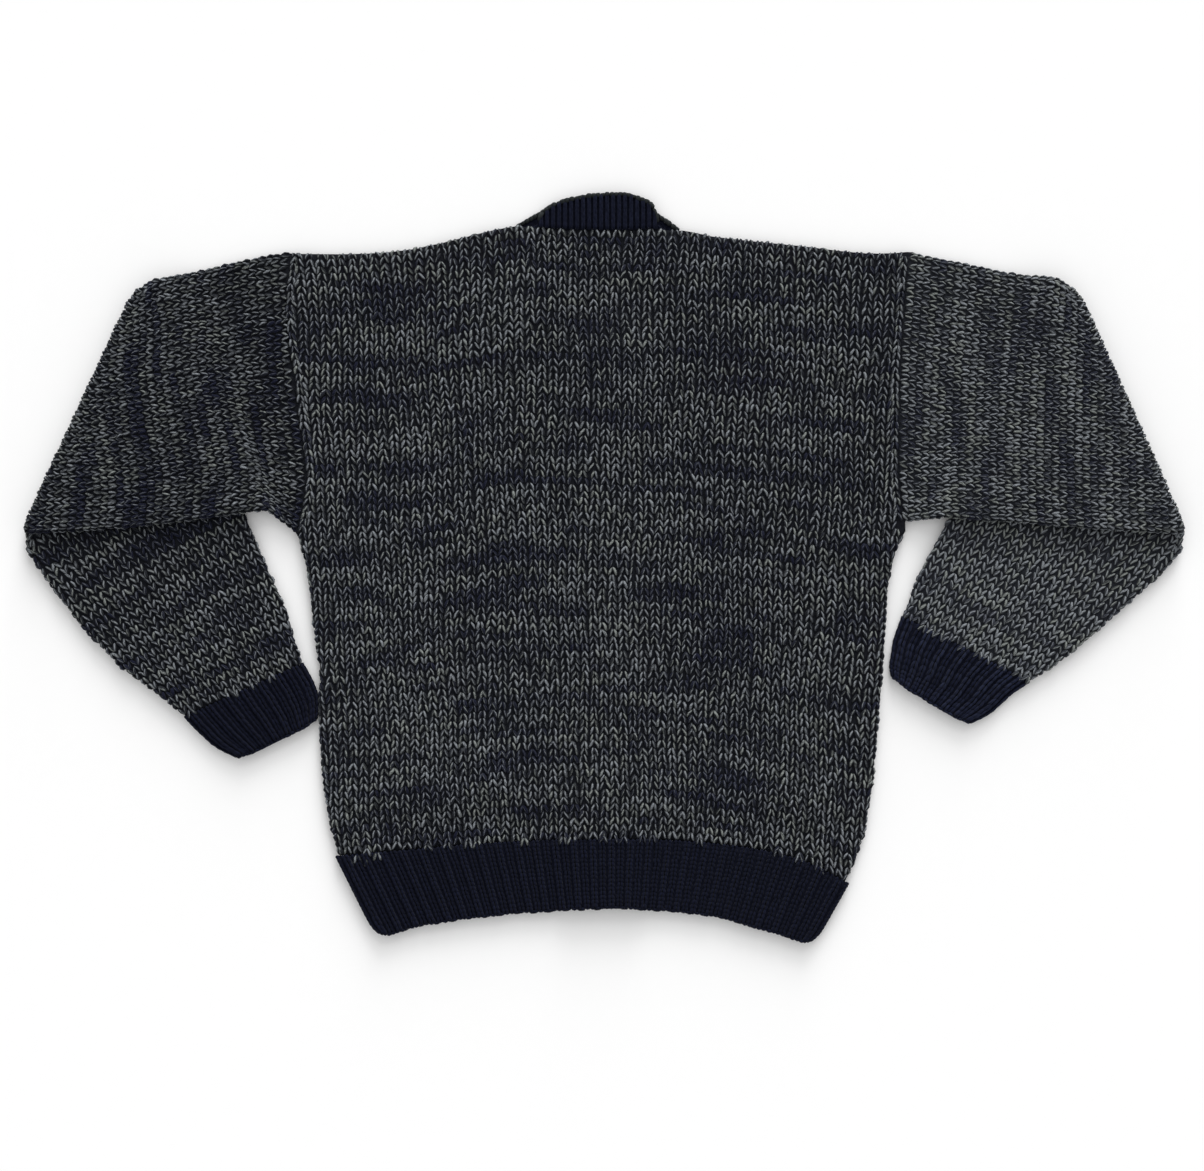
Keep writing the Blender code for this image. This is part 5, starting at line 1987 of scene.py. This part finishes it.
class CARDIGAN_OT_buttons(bpy.types.Operator):
    """Turn five buttons, each with its rim and four eyes, down the bands."""

    bl_idname = "cardigan.buttons"
    bl_label = "Buttons"

    def execute(self, context):
        low, high = BUTTON_SPAN
        middle = (low + high) / 2 * MM
        material, tree, shader = new_material("button", roughness=0.38)
        place = node(tree, "TexCoord").outputs["Object"]
        cloud = noise(tree, place, 190.0, detail=3.0)
        colour = tuple(settings()[1].button)
        clouded = mix(tree, cloud, colour, shade(colour, 2.2))
        tree.links.new(clouded, shader.inputs["Base Color"])
        for index, y in enumerate(BUTTON_PLACES, start=1):
            bpy.ops.object.select_all(action="DESELECT")
            bpy.ops.mesh.primitive_cylinder_add(
                vertices=BUTTON_SIDES, radius=BUTTON_RADIUS * MM, depth=(high - low) * MM,
                location=(0.0, y * MM, middle),
            )
            button = context.object
            button.name = f"button_{index}_turned"
            bpy.ops.object.transform_apply(location=True, rotation=False, scale=False)
            bpy.ops.object.mode_set(mode="EDIT")
            bpy.ops.mesh.select_all(action="DESELECT")
            bpy.ops.object.mode_set(mode="OBJECT")
            for face in button.data.polygons:
                face.select = face.normal.z < -0.5
            bpy.ops.object.mode_set(mode="EDIT")
            bpy.ops.mesh.select_mode(type="FACE")
            bpy.ops.mesh.inset(thickness=BUTTON_RIM * MM, depth=0.0)
            bpy.ops.mesh.inset(thickness=BUTTON_DISH[0] * MM, depth=-BUTTON_DISH[1] * MM)
            bpy.ops.object.mode_set(mode="OBJECT")
            cutters = []
            for eye in range(BUTTON_EYES):
                angle = math.pi / 4 + eye * math.tau / BUTTON_EYES
                x_eye = EYE_RING * MM * math.cos(angle)
                y_eye = y * MM + EYE_RING * MM * math.sin(angle)
                bpy.ops.mesh.primitive_cylinder_add(
                    vertices=EYE_SIDES, radius=EYE_RADIUS * MM, depth=EYE_CUT * MM,
                    location=(x_eye, y_eye, middle),
                )
                cutters.append(context.object)
            cutter = join("eyes", cutters)
            cut = button.modifiers.new("Eyes", "BOOLEAN")
            cut.object = cutter
            cut.operation = "DIFFERENCE"
            cut.solver = "EXACT"
            bevel = button.modifiers.new("Soft edges", "BEVEL")
            bevel.width = BUTTON_BEVEL * MM
            bevel.segments = 2
            bevel.limit_method = "ANGLE"
            context.view_layer.objects.active = button
            bpy.ops.object.modifier_apply(modifier=cut.name)
            bpy.ops.object.modifier_apply(modifier=bevel.name)
            bpy.data.objects.remove(cutter)
            bpy.ops.object.select_all(action="DESELECT")
            button.select_set(True)
            context.view_layer.objects.active = button
            bpy.ops.object.shade_smooth_by_angle(angle=math.radians(40))
            finish_piece(button, material)
            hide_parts(f"button_{index}")
        return {"FINISHED"}


# Stage, in metres
FLOOR_SIZE = 12.0
FLOOR_DROP = 0.0002
FLOOR_GRAIN = 0.99
KEY_PLACE = (0.35, 1.5, 0.85)
LOW_PLACE = (0.20, 1.5, 0.36)
LOW_SOFTNESS = 0.65      # the low light's size, as a share of the key light's
CLOTH_HEIGHT = 0.010
VIEW_CENTRE = (-0.002, -0.0155)
SENSOR_WIDTH = 36.0
CLIP_END = 100.0


class CARDIGAN_OT_stage(bpy.types.Operator):
    """Set the floor, the lights and the camera."""

    bl_idname = "cardigan.stage"
    bl_label = "Stage"

    def execute(self, context):
        stage = settings()[2]
        scene = context.scene
        scene.view_settings.view_transform = "Standard"
        bpy.ops.object.select_all(action="DESELECT")
        bpy.ops.mesh.primitive_plane_add(size=FLOOR_SIZE, location=(0.0, 0.0, -FLOOR_DROP))
        floor = context.object
        floor.name = "floor"
        material, tree, shader = new_material("floor", roughness=0.9)
        place = node(tree, "TexCoord").outputs["Object"]
        grain = noise(tree, place, 60.0)
        pale = tuple(stage.floor)
        grained = mix(tree, grain, shade(pale, FLOOR_GRAIN), pale)
        tree.links.new(grained, shader.inputs["Base Color"])
        floor.data.materials.append(material)
        world = bpy.data.worlds.new("even_sky")
        world.use_nodes = True
        background = world.node_tree.nodes["Background"]
        background.inputs["Color"].default_value = (1.0, 1.0, 1.0, 1.0)
        background.inputs["Strength"].default_value = stage.sky
        scene.world = world
        for name, place, energy, angle in (
            ("key_light", KEY_PLACE, stage.key, stage.softness),
            ("low_light", LOW_PLACE, stage.low, stage.softness * LOW_SOFTNESS),
        ):
            bpy.ops.object.light_add(type="SUN", location=place)
            light = context.object
            light.name = name
            light.data.angle = angle
            light.data.energy = energy
            aim = Vector((0.0, 0.0, 0.0)) - light.location
            light.rotation_euler = aim.to_track_quat("-Z", "Y").to_euler()
        eye = (*VIEW_CENTRE, stage.eye_height + CLOTH_HEIGHT)
        bpy.ops.object.camera_add(location=eye, rotation=(0.0, 0.0, 0.0))
        camera = context.object
        camera.name = "camera"
        camera.data.sensor_width = SENSOR_WIDTH
        camera.data.lens = SENSOR_WIDTH * stage.eye_height / stage.field_width
        camera.data.clip_end = CLIP_END
        scene.camera = camera
        return {"FINISHED"}


class CARDIGAN_PT_panel(bpy.types.Panel):
    """The cardigan's pieces and sizes."""

    bl_idname = "CARDIGAN_PT_panel"
    bl_label = "Marled Cardigan"
    bl_space_type = "VIEW_3D"
    bl_region_type = "UI"
    bl_category = "Cardigan"

    def draw(self, context):
        layout = self.layout
        for group in settings():
            box = layout.box()
            for name in group.bl_rna.properties.keys():
                if name not in ("rna_type", "name"):
                    box.prop(group, name)
        for operator in OPERATORS:
            layout.operator(operator.bl_idname)


OPERATORS = (
    CARDIGAN_OT_stage, CARDIGAN_OT_back, CARDIGAN_OT_fronts, CARDIGAN_OT_sleeves,
    CARDIGAN_OT_cuffs, CARDIGAN_OT_hem, CARDIGAN_OT_neckband, CARDIGAN_OT_front_bands,
    CARDIGAN_OT_buttons,
)
CLASSES = (KnitSettings, YarnSettings, StageSettings, *OPERATORS, CARDIGAN_PT_panel)


def register():
    """Adds the classes and the scene's settings."""
    for one in CLASSES:
        bpy.utils.register_class(one)
    bpy.types.Scene.cardigan_knit = PointerProperty(type=KnitSettings)
    bpy.types.Scene.cardigan_yarn = PointerProperty(type=YarnSettings)
    bpy.types.Scene.cardigan_stage = PointerProperty(type=StageSettings)


def unregister():
    """Takes them away again."""
    del bpy.types.Scene.cardigan_stage
    del bpy.types.Scene.cardigan_yarn
    del bpy.types.Scene.cardigan_knit
    for one in reversed(CLASSES):
        bpy.utils.unregister_class(one)


def main():
    """Makes the whole scene."""
    register()
    bpy.ops.cardigan.stage()
    bpy.ops.cardigan.back()
    bpy.ops.cardigan.fronts()
    bpy.ops.cardigan.sleeves()
    bpy.ops.cardigan.cuffs()
    bpy.ops.cardigan.hem()
    bpy.ops.cardigan.neckband()
    bpy.ops.cardigan.front_bands()
    bpy.ops.cardigan.buttons()


if __name__ == "__main__":
    main()
